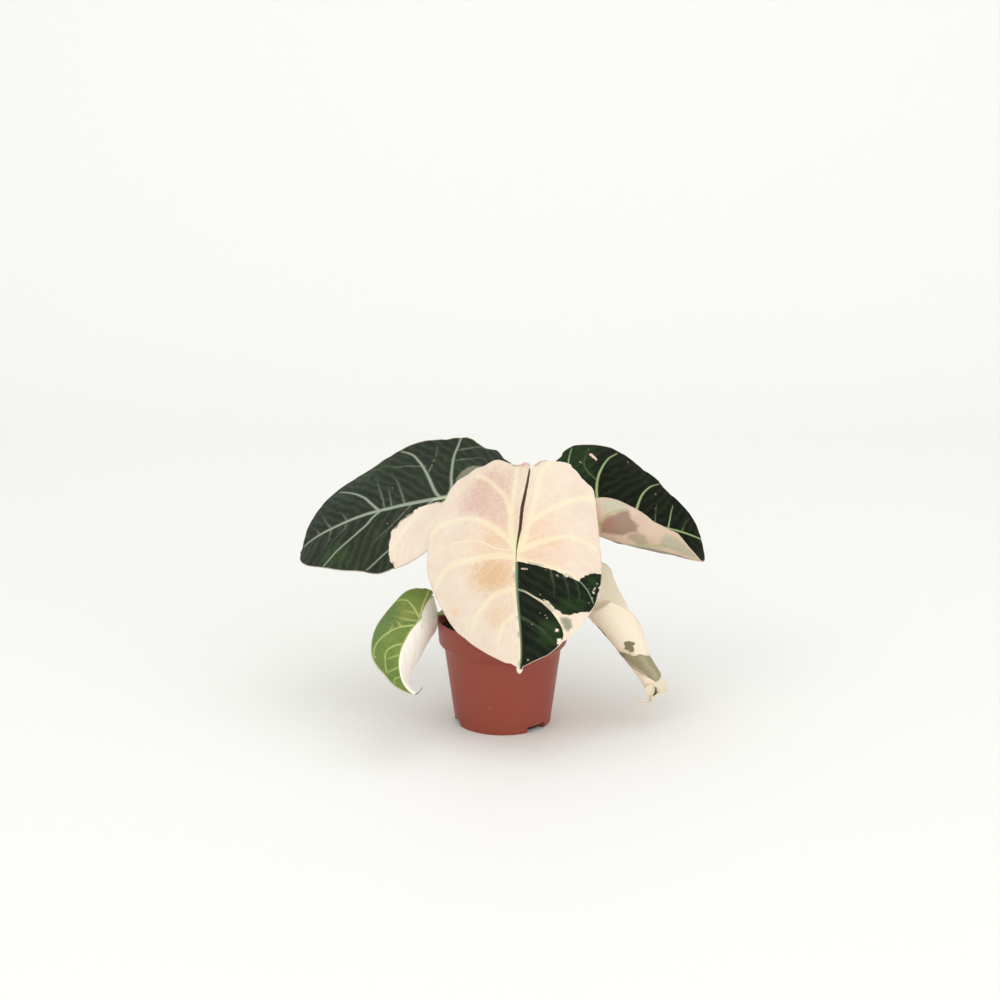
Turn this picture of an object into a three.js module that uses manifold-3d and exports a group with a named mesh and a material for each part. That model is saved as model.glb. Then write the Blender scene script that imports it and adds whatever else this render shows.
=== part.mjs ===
import * as THREE from 'three';
import { mergeVertices } from 'three/addons/utils/BufferGeometryUtils.js';
import Module from 'manifold-3d';

// A potted variegated alocasia: five heart-shaped leaves on stems that rise from one short crown
// in a tapered plastic nursery pot. Millimetres, +Z up. The origin is the middle of the pot's
// underside, and the largest leaf hangs over the rim towards -Y.

// pot
const potHeight = 74;
const rimRadius = 45; // outside, at the top
const rimFoot = 57.5; // where the rim band starts to step in
const shoulder = 53; // where the plain wall starts
const wallRadius = 40; // outside, at the shoulder
const baseRadius = 33; // outside, just above the foot
const wall = 1.2;
const drainCount = 3;
const drainBearing = -46; // degrees from +X, the first drain arch
const drainHalfAngle = 16;
const drainHeight = 4.4;

// soil and crown
const soilRim = 65; // height where the soil meets the wall
const soilCentre = 67;
const crownRadius = 7;
const crownTop = 76;
const gap = 0.3;

// leaves
const bladeThickness = 0.7;
const ribDepth = 1.3; // the midrib stands out below the blade
const lobeRows = 8;
const bladeRows = 12;
const tipRows = 3;

// A leaf's own axes: +X runs from the stem joint to the tip, +Z comes out of the upper face and
// +Y is the left half. The lists hold a value at the back of the lobes, at the stem joint, at half
// length and at the tip; a list of five has one more at 0.78 of the length. Lengths are in mm and
// angles in degrees. bend dips the midrib, sweep swings it sideways and twist turns it. Each half
// blade leaves the midrib at its fold angle and gains its curl over the width `half`.
const leaves = {
  front: {
    joint: [9, -38, 134], yaw: -100, pitch: 65, roll: 5,
    bend: [15, 0, 6, -11], sweep: [0, 0, 8, 0], twist: [-2, 0, -2, 10],
    rightFold: [-12, -1, -1, -1], rightCurl: [-22, -14, -22, -16],
    leftFold: [-22, -15, -9, 6], leftCurl: [-29, -41, -34, -14],
    length: 79, back: 60, half: 64, widest: 6, lobe: 6, slit: 1,
    tipPower: 2.1, flankPower: 1.2, lobePower: 1.9, lobeRound: 2.7, columns: 5,
    drip: { length: 3, width: 2, curl: 8, turn: 0 },
    stem: { bearing: -80, radius: 2, rise: [1, -8, 105], arrive: [12, -16, 119] },
    color: '#e8d3bd',
  },
  left_rear: {
    joint: [-37, 47, 147], yaw: 176, pitch: 7, roll: -22,
    bend: [-1, 0, 11, 46], sweep: [0, 0, 9, -6], twist: [4, 0, -3, -1],
    rightFold: [-10, 3, 5, 4], rightCurl: [-25, 5, -30, -1],
    leftFold: [4, 4, 1, 3], leftCurl: [-13, 8, -30, -6],
    length: 117, back: 52, half: 61, widest: 11, lobe: 21, slit: 2,
    tipPower: 2, flankPower: 1.5, lobePower: 2.2, lobeRound: 1.9, columns: 5,
    drip: { length: 2, width: 1.4, curl: 4, turn: 0 },
    stem: { bearing: 135, radius: 2, rise: [-6, 8, 108], arrive: [-31, 51, 120] },
    color: '#3a433a',
  },
  right_rear: {
    joint: [63, 32, 144], yaw: 3, pitch: 21, roll: 37,
    bend: [-25, 0, 0, 31], sweep: [0, 0, 5, 24], twist: [-4, 0, -3, -1],
    rightFold: [-14, -37, -29, -4], rightCurl: [156, 197, 173, 92],
    leftFold: [-14, 3, -4, 1], leftCurl: [-15, -27, -16, -11],
    length: 84, back: 39, half: 67, widest: 7, lobe: 24, slit: 2,
    tipPower: 2.2, flankPower: 1.5, lobePower: 2.2, lobeRound: 2, columns: 7,
    drip: { length: 2, width: 1.4, curl: 4, turn: 0 },
    stem: { bearing: 45, radius: 2, rise: [6, 18, 122], arrive: [50, 46, 128] },
    color: '#262b21',
  },
  right_low: {
    joint: [57, 8, 87], yaw: 9, pitch: 55, roll: 4,
    bend: [1, 0, -2, 7, 25], sweep: [0, 0, -14, -6, -99], twist: [19, 0, 20, 21, 54],
    rightFold: [-27, -43, -33, -36, 47], rightCurl: [83, 130, 273, 391, 102],
    leftFold: [2, 19, -4, -23, 75], leftCurl: [-6, 12, -29, 37, -25],
    length: 89, back: 34, half: 48, widest: 10, lobe: 16, slit: 2,
    tipPower: 2.4, flankPower: 1.2, lobePower: 1.6, lobeRound: 1.6, columns: 8,
    drip: { length: 11, width: 1.8, curl: 0, turn: -18 },
    stem: { bearing: -10, radius: 2, rise: [16, -2, 90], arrive: [43, 7, 78] },
    color: '#eedfc6',
  },
  left_low: {
    joint: [-56, -27, 83], yaw: -116, pitch: 29, roll: -26,
    bend: [-11, 0, 6, -17], sweep: [0, 0, 14, 88], twist: [-6, 0, -10, -19],
    rightFold: [-2, -12, 1, 5], rightCurl: [-22, -28, -21, -14],
    leftFold: [-49, -39, -38, -28], leftCurl: [-14, -49, -34, -20],
    length: 67, back: 25, half: 26, widest: 4, lobe: 2, slit: 1,
    tipPower: 1.9, flankPower: 1.2, lobePower: 2.2, lobeRound: 2, columns: 5,
    drip: { length: 6, width: 1, curl: -3, turn: 8 },
    stem: { bearing: 198, radius: 1.6, rise: [-28, 12, 80], arrive: [-57, -2, 74] },
    color: '#818a4e',
  },
};

const rad = THREE.MathUtils.degToRad;
const clamp = THREE.MathUtils.clamp;

// The smooth curve through a list of values at the leaf's stations, read at v.
function through(leaf, values, v) {
  const { back, length } = leaf;
  const knots = values.length === 5
    ? [-back, 0, length / 2, 0.78 * length, length]
    : [-back, 0, length / 2, length];
  const at = clamp(v, -back, length);
  return values.reduce((sum, value, i) => sum + value * knots.reduce(
    (share, knot, j) => (j === i ? share : share * (at - knot) / (knots[i] - knot)), 1), 0);
}

function attitude(leaf, v) {
  const beyond = Math.max(0, v - leaf.length);
  const bend = through(leaf, leaf.bend, v) + leaf.drip.curl * beyond;
  const sweep = through(leaf, leaf.sweep, v) + leaf.drip.turn * beyond;
  const twist = through(leaf, leaf.twist, v);
  const turn = (z, y, x) => new THREE.Quaternion().setFromEuler(
    new THREE.Euler(rad(x), rad(y), rad(z), 'ZYX'));
  return turn(leaf.yaw, leaf.pitch, leaf.roll).multiply(turn(sweep, bend, twist));
}

// The point of the midrib line at v and the directions of the leaf's axes there.
function station(leaf, v) {
  const steps = 32;
  const position = new THREE.Vector3(...leaf.joint);
  for (let i = 0; i < steps; i++) {
    const along = new THREE.Vector3(1, 0, 0).applyQuaternion(attitude(leaf, v * (i + 0.5) / steps));
    position.addScaledVector(along, v / steps);
  }
  const turned = attitude(leaf, v);
  return {
    position,
    left: new THREE.Vector3(0, 1, 0).applyQuaternion(turned),
    up: new THREE.Vector3(0, 0, 1).applyQuaternion(turned),
  };
}

// Half width of the blade at v: a pointed front, round lobes behind and a narrow drip tip.
function outerEdge(leaf, v) {
  const { length, back, half, widest, lobe, drip } = leaf;
  const beyond = clamp((v - length) / drip.length, 0, 1);
  const tip = v > 0.8 * length ? drip.width / 2 * Math.sqrt(1 - beyond ** 2) : 0;
  if (v >= widest) {
    const front = clamp((v - widest) / (length - widest), 0, 1);
    return Math.max(half * (1 - front ** leaf.tipPower) ** (1 / leaf.flankPower), tip);
  }
  const behind = clamp((widest - v) / (widest + back), 0, 1);
  return lobe + (half - lobe) * (1 - behind ** leaf.lobePower) ** (1 / leaf.lobeRound);
}

// The edge of the slit between the two lobes, which opens out at their round ends.
function innerEdge(leaf, v) {
  if (v >= 0) return 0;
  const t = -v / leaf.back;
  const opening = clamp((t - 0.8) / 0.2, 0, 1);
  return leaf.slit * clamp(t / 0.1, 0, 1)
    + (leaf.lobe - leaf.slit) * (1 - Math.sqrt(1 - opening ** 2));
}

// A point of the blade's middle surface: side is 1 on the right half and -1 on the left.
function bladePoint(leaf, side, x, v, at = station(leaf, v)) {
  const fold = rad(through(leaf, side > 0 ? leaf.rightFold : leaf.leftFold, v));
  const curl = rad(through(leaf, side > 0 ? leaf.rightCurl : leaf.leftCurl, v)) / leaf.half || 1e-6;
  const out = (Math.sin(fold + curl * x) - Math.sin(fold)) / curl;
  const lift = (Math.cos(fold) - Math.cos(fold + curl * x)) / curl;
  return at.position.clone().addScaledVector(at.left, -side * out).addScaledVector(at.up, lift);
}

function bladeNormal(leaf, side, x, v) {
  const e = 0.1;
  const along = bladePoint(leaf, side, x, v + e).sub(bladePoint(leaf, side, x, v - e));
  const across = bladePoint(leaf, side, x + e, v).sub(bladePoint(leaf, side, x - e, v));
  return side > 0 ? across.cross(along).normalize() : along.cross(across).normalize();
}

function bladeGeometry(leaf, spare = 0) {
  const end = leaf.length + leaf.drip.length;
  const rows = [];
  for (let i = 0; i < lobeRows; i++) rows.push(-leaf.back * Math.cos(Math.PI / 2 * i / lobeRows));
  for (let i = 0; i < bladeRows; i++) rows.push(leaf.length * Math.sin(Math.PI / 2 * i / bladeRows));
  for (let i = 0; i < tipRows; i++) rows.push(leaf.length + leaf.drip.length * i / tipRows);
  rows.push(end);

  const ids = new Map();
  const upper = [];
  const lower = [];
  const corner = (side, row, column) => {
    const v = rows[row];
    const atRib = column === 0 && v >= -1e-9;
    let name = `${side}/${row}/${column}`;
    if (row === rows.length - 1) name = 'tip';
    else if (row === 0) name = `lobe${side}`;
    else if (atRib) name = `rib${row}`;
    if (ids.has(name)) return ids.get(name);
    const inner = innerEdge(leaf, v);
    const outer = outerEdge(leaf, v);
    const first = Math.min(2.2, (outer - inner) * 0.3);
    const rest = (outer - inner - first) * (column - 1) / (leaf.columns - 1);
    const x = column === 0 ? inner : inner + first + rest;
    const middle = bladePoint(leaf, side, x, v);
    const normal = atRib || row === rows.length - 1
      ? station(leaf, v).up : bladeNormal(leaf, side, x, v);
    const rib = atRib ? ribDepth * clamp(1 - v / leaf.length, 0, 1) : 0;
    upper.push(middle.clone().addScaledVector(normal, bladeThickness / 2 + spare));
    lower.push(middle.clone().addScaledVector(normal, -bladeThickness / 2 - rib - spare));
    ids.set(name, upper.length - 1);
    return upper.length - 1;
  };

  const skin = [];
  const add = (a, b, c) => { if (a !== b && b !== c && c !== a) skin.push([a, b, c]); };
  for (const side of [1, -1]) {
    for (let row = 0; row < rows.length - 1; row++) {
      for (let column = 0; column < leaf.columns; column++) {
        const a = corner(side, row, column);
        const b = corner(side, row, column + 1);
        const c = corner(side, row + 1, column + 1);
        const d = corner(side, row + 1, column);
        if (side > 0) { add(a, b, c); add(a, c, d); } else { add(a, c, b); add(a, d, c); }
      }
    }
  }

  // the lower skin is the upper one turned over, and a wall closes every open edge
  const count = upper.length;
  const index = skin.flatMap(([a, b, c]) => [a, b, c, a + count, c + count, b + count]);
  const edges = new Set(skin.flatMap(([a, b, c]) => [`${a}/${b}`, `${b}/${c}`, `${c}/${a}`]));
  for (const edge of edges) {
    const [p, q] = edge.split('/').map(Number);
    if (!edges.has(`${q}/${p}`)) index.push(q, p, p + count, q, p + count, q + count);
  }
  const geometry = new THREE.BufferGeometry().setFromPoints([...upper, ...lower]);
  geometry.setIndex(index);
  return geometry;
}

function latheGeometry(profile, segments) {
  const points = profile.map(([r, z]) => new THREE.Vector2(r, z));
  return new THREE.LatheGeometry(points, segments).rotateX(Math.PI / 2);
}

function stemGeometry(leaf) {
  const { bearing, radius, rise, arrive } = leaf.stem;
  const foot = new THREE.Vector3(3 * Math.cos(rad(bearing)), 3 * Math.sin(rad(bearing)), 69);
  const joint = station(leaf, 0);
  const top = joint.position.clone().addScaledVector(joint.up, -1.9);
  const path = new THREE.CubicBezierCurve3(
    foot, new THREE.Vector3(...rise), new THREE.Vector3(...arrive), top);
  const section = new THREE.Shape().absarc(0, 0, radius, 0, 2 * Math.PI);
  return new THREE.ExtrudeGeometry(section, {
    steps: 18, curveSegments: 10, bevelEnabled: false, extrudePath: path,
  });
}

// A block over part of a ring, centred on a bearing.
function ringBlock(inner, outer, bearing, halfAngle, bottom, top) {
  const from = rad(bearing - halfAngle);
  const to = rad(bearing + halfAngle);
  const plan = new THREE.Shape();
  plan.absarc(0, 0, outer, from, to, false);
  plan.absarc(0, 0, inner, to, from, true);
  return new THREE.ExtrudeGeometry(plan, {
    depth: top - bottom, curveSegments: 6, bevelEnabled: false,
  }).translate(0, 0, bottom);
}

const wasm = await Module();
wasm.setup();

function solid(geometry) {
  const bare = new THREE.BufferGeometry();
  bare.setAttribute('position', geometry.getAttribute('position').clone());
  if (geometry.index) bare.setIndex(geometry.index.clone());
  const merged = mergeVertices(bare, 1e-4);
  const corners = [];
  const all = merged.index.array;
  for (let i = 0; i < all.length; i += 3) {
    const [a, b, c] = [all[i], all[i + 1], all[i + 2]];
    if (a !== b && b !== c && c !== a) corners.push(a, b, c);
  }
  return new wasm.Manifold(new wasm.Mesh({
    numProp: 3,
    vertProperties: new Float32Array(merged.getAttribute('position').array),
    triVerts: new Uint32Array(corners),
  }));
}

function geometryOf(body) {
  const mesh = body.getMesh();
  const geometry = new THREE.BufferGeometry();
  geometry.setAttribute('position', new THREE.BufferAttribute(mesh.vertProperties, 3));
  geometry.setIndex(new THREE.BufferAttribute(mesh.triVerts, 1));
  geometry.computeVertexNormals();
  return geometry;
}

const drainBearings = Array.from({ length: drainCount }, (_, i) => drainBearing + 360 / drainCount * i);

function potBody() {
  let pot = solid(latheGeometry([
    [0, 0], [baseRadius - 0.9, 0], [baseRadius, 1.2], [wallRadius, shoulder],
    [rimRadius - 1.2, rimFoot], [rimRadius - 0.1, potHeight - 0.6], [rimRadius - 0.4, potHeight],
    [rimRadius - wall, potHeight], [rimRadius - wall - 0.1, potHeight - 0.8],
    [rimRadius - 1.2 - wall, rimFoot + 0.4], [wallRadius - wall, shoulder + 0.4],
    [baseRadius - wall + 0.3, wall + 1], [baseRadius - wall - 1, wall], [0, wall],
  ], 60));
  for (const bearing of drainBearings) {
    pot = pot.add(solid(ringBlock(19, baseRadius - 0.6, bearing, drainHalfAngle, 0.2, drainHeight + wall)));
  }
  for (const bearing of drainBearings) {
    const arch = ringBlock(19 + wall, baseRadius + 8, bearing, drainHalfAngle - 2, -1, drainHeight);
    const hole = new THREE.CylinderGeometry(3, 3, 6, 16).rotateX(Math.PI / 2);
    hole.translate(26.5 * Math.cos(rad(bearing)), 26.5 * Math.sin(rad(bearing)), drainHeight);
    pot = pot.subtract(solid(arch)).subtract(solid(hole));
  }
  return pot;
}

function crownGeometry(spare = 0) {
  const r = crownRadius + spare;
  return latheGeometry([
    [0, 55 - spare], [0.6 * r, 55 - spare], [r, 60], [r, soilCentre + 1], [0.82 * r, 72],
    [0.5 * r, crownTop - 1 + spare], [0, crownTop + spare],
  ], 20);
}

// The soil fills the pot up to a crumbly, slightly domed top.
function soilBody() {
  const inside = baseRadius - wall - gap;
  const top = [];
  for (let i = 0; i <= 6; i++) {
    const r = (rimRadius - 1.2 - wall - gap) * (1 - i / 6);
    top.push([r, soilCentre + (soilRim - soilCentre) * (1 - i / 6) ** 2]);
  }
  const plug = latheGeometry([
    [0, wall + gap], [inside - 1.2, wall + gap], [inside + 0.2, wall + 1.6],
    [wallRadius - wall - gap, shoulder + 0.6], [rimRadius - 1.2 - wall - gap, rimFoot + 0.8], ...top,
  ], 40);
  const points = plug.getAttribute('position');
  for (let i = 0; i < points.count; i++) {
    const [x, y, z] = [points.getX(i), points.getY(i), points.getZ(i)];
    const crumbs = Math.sin(0.55 * x + 1) * Math.cos(0.6 * y) + Math.sin(0.31 * x - 0.47 * y);
    if (z > rimFoot + 3) points.setZ(i, z + 0.45 * crumbs);
  }
  let soil = solid(plug).subtract(solid(crownGeometry(gap)));
  for (const bearing of drainBearings) {
    soil = soil.subtract(solid(ringBlock(
      19 - gap, rimRadius, bearing, drainHalfAngle + 1, 0, drainHeight + wall + gap)));
  }
  return soil;
}

const plant = new THREE.Group();

function place(name, geometry, color, roughness) {
  const material = new THREE.MeshStandardMaterial({ color, roughness, metalness: 0 });
  const mesh = new THREE.Mesh(geometry, material);
  mesh.name = name;
  plant.add(mesh);
}

place('pot', geometryOf(potBody()), '#96503f', 0.5);
place('soil', geometryOf(soilBody()), '#211a16', 0.95);
place('crown', geometryOf(solid(crownGeometry())), '#9c9a62', 0.6);

const crownSpace = solid(crownGeometry(gap));
for (const [name, leaf] of Object.entries(leaves)) {
  const bladeSpace = solid(bladeGeometry(leaf, gap));
  const stem = solid(stemGeometry(leaf)).subtract(crownSpace).subtract(bladeSpace);
  place(`petiole_${name}`, geometryOf(stem), '#b5b27a', 0.5);
  place(`blade_${name}`, bladeGeometry(leaf), leaf.color, 0.6);
}

export default plant;
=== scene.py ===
import math
import random

import bmesh
import bpy
import numpy as np
from mathutils import Euler, Matrix, Vector, noise


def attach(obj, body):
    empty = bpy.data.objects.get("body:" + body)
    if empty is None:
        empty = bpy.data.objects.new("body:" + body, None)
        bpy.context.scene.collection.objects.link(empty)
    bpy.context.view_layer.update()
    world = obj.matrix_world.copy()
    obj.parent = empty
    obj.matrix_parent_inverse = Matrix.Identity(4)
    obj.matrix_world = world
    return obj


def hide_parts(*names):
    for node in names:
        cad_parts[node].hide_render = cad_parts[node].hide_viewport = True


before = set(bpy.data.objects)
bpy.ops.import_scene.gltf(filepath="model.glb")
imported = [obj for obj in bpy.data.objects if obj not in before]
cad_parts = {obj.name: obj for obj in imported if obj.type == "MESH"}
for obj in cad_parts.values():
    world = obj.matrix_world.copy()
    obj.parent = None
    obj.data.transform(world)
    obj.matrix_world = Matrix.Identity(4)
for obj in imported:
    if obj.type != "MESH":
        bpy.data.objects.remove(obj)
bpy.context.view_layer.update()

mm = 0.001
scene = bpy.context.scene

# camera, light and floor

studio = {
    "cameraPlace": (-0.00194, -1.625, 0.6126),
    "cameraTilt": 74.34,  # degrees from looking straight down
    "lens": 90,
    "worldLight": 0.84,
    "floorColour": "f1f1ee",
    "wallDistance": 1.5,
    "wallCurve": 0.7,
}


def linearColour(hexCode):
    channels = [int(hexCode[i:i + 2], 16) / 255 for i in (0, 2, 4)]
    return tuple(c / 12.92 if c <= 0.04045 else ((c + 0.055) / 1.055) ** 2.4 for c in channels) + (1,)


def addNode(tree, kind, settings=None, links=None):
    node = tree.nodes.new(kind)
    for key, value in (settings or {}).items():
        if isinstance(key, str) and hasattr(node, key):
            setattr(node, key, value)
        else:
            node.inputs[key].default_value = value
    for key, socket in (links or {}).items():
        tree.links.new(socket, node.inputs[key])
    return node


def newMaterial(name):
    material = bpy.data.materials.new(name)
    material.use_nodes = True
    material.node_tree.nodes.clear()
    return material, material.node_tree


def finishPiece(name, bm, materials, smooth=True):
    mesh = bpy.data.meshes.new(name)
    bm.to_mesh(mesh)
    bm.free()
    piece = bpy.data.objects.new(name, mesh)
    scene.collection.objects.link(piece)
    for material in materials:
        mesh.materials.append(material)
    for face in mesh.polygons:
        face.use_smooth = smooth
    return piece


def areaLight(name, place, target, size, power, colour):
    data = bpy.data.lights.new(name, "AREA")
    data.shape = "RECTANGLE"
    data.size, data.size_y = size
    data.energy = power
    data.color = linearColour(colour)[:3]
    light = bpy.data.objects.new(name, data)
    scene.collection.objects.link(light)
    light.location = place
    light.rotation_euler = (Vector(target) - Vector(place)).to_track_quat("-Z", "Y").to_euler()


def buildStudio():
    data = bpy.data.cameras.new("photoCamera")
    data.lens = studio["lens"]
    data.sensor_width = 36
    camera = bpy.data.objects.new("photoCamera", data)
    scene.collection.objects.link(camera)
    camera.location = studio["cameraPlace"]
    camera.rotation_euler = (math.radians(studio["cameraTilt"]), 0, 0)
    scene.camera = camera

    world = bpy.data.worlds.new("studioWorld")
    world.use_nodes = True
    world.node_tree.nodes["Background"].inputs["Color"].default_value = linearColour("fdfdfd")
    world.node_tree.nodes["Background"].inputs["Strength"].default_value = studio["worldLight"]
    scene.world = world
    scene.view_settings.view_transform = "Standard"

    areaLight("keyLight", (-1.1, -1.2, 1.7), (0, 0, 0.08), (1.3, 1.0), 7, "fffdf8")
    areaLight("topLight", (0.2, 0.3, 1.9), (0, 0, 0.1), (1.6, 1.6), 6, "fdfdff")
    areaLight("rightFill", (1.6, -1.3, 0.3), (0, 0, 0.08), (1.2, 1.2), 9, "ffffff")
    areaLight("frontFill", (0, -2.3, 0.55), (0, 0, 0.1), (2.0, 1.6), 10, "ffffff")

    material, tree = newMaterial("paintedPaper")  # matt white studio paper, no gloss
    shader = addNode(tree, "ShaderNodeBsdfPrincipled", {
        "Base Color": linearColour(studio["floorColour"]), "Roughness": 0.6, "Specular IOR Level": 0.3})
    addNode(tree, "ShaderNodeOutputMaterial", links={"Surface": shader.outputs["BSDF"]})

    # one sheet: flat floor, then a curve up into the wall
    bm = bmesh.new()
    start = bm.verts.new((-4, -3, 0))
    end = bm.verts.new((4, -3, 0))
    edge = bm.edges.new((start, end))
    far, curve = studio["wallDistance"], studio["wallCurve"]
    steps = [(far - curve, 0)] + [
        (far - curve + curve * math.sin(math.radians(a)), curve - curve * math.cos(math.radians(a)))
        for a in range(6, 91, 6)] + [(far, 3)]
    for y, z in steps:
        grown = bmesh.ops.extrude_edge_only(bm, edges=[edge])["geom"]
        for vert in (g for g in grown if isinstance(g, bmesh.types.BMVert)):
            vert.co.y, vert.co.z = y, z
        edge = next(g for g in grown if isinstance(g, bmesh.types.BMEdge)
                    and all(v in grown for v in g.verts))
    bmesh.ops.recalc_face_normals(bm, faces=bm.faces)
    finishPiece("floorSheet", bm, [material])
    print("studio ready")


buildStudio()

# leaves

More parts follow.
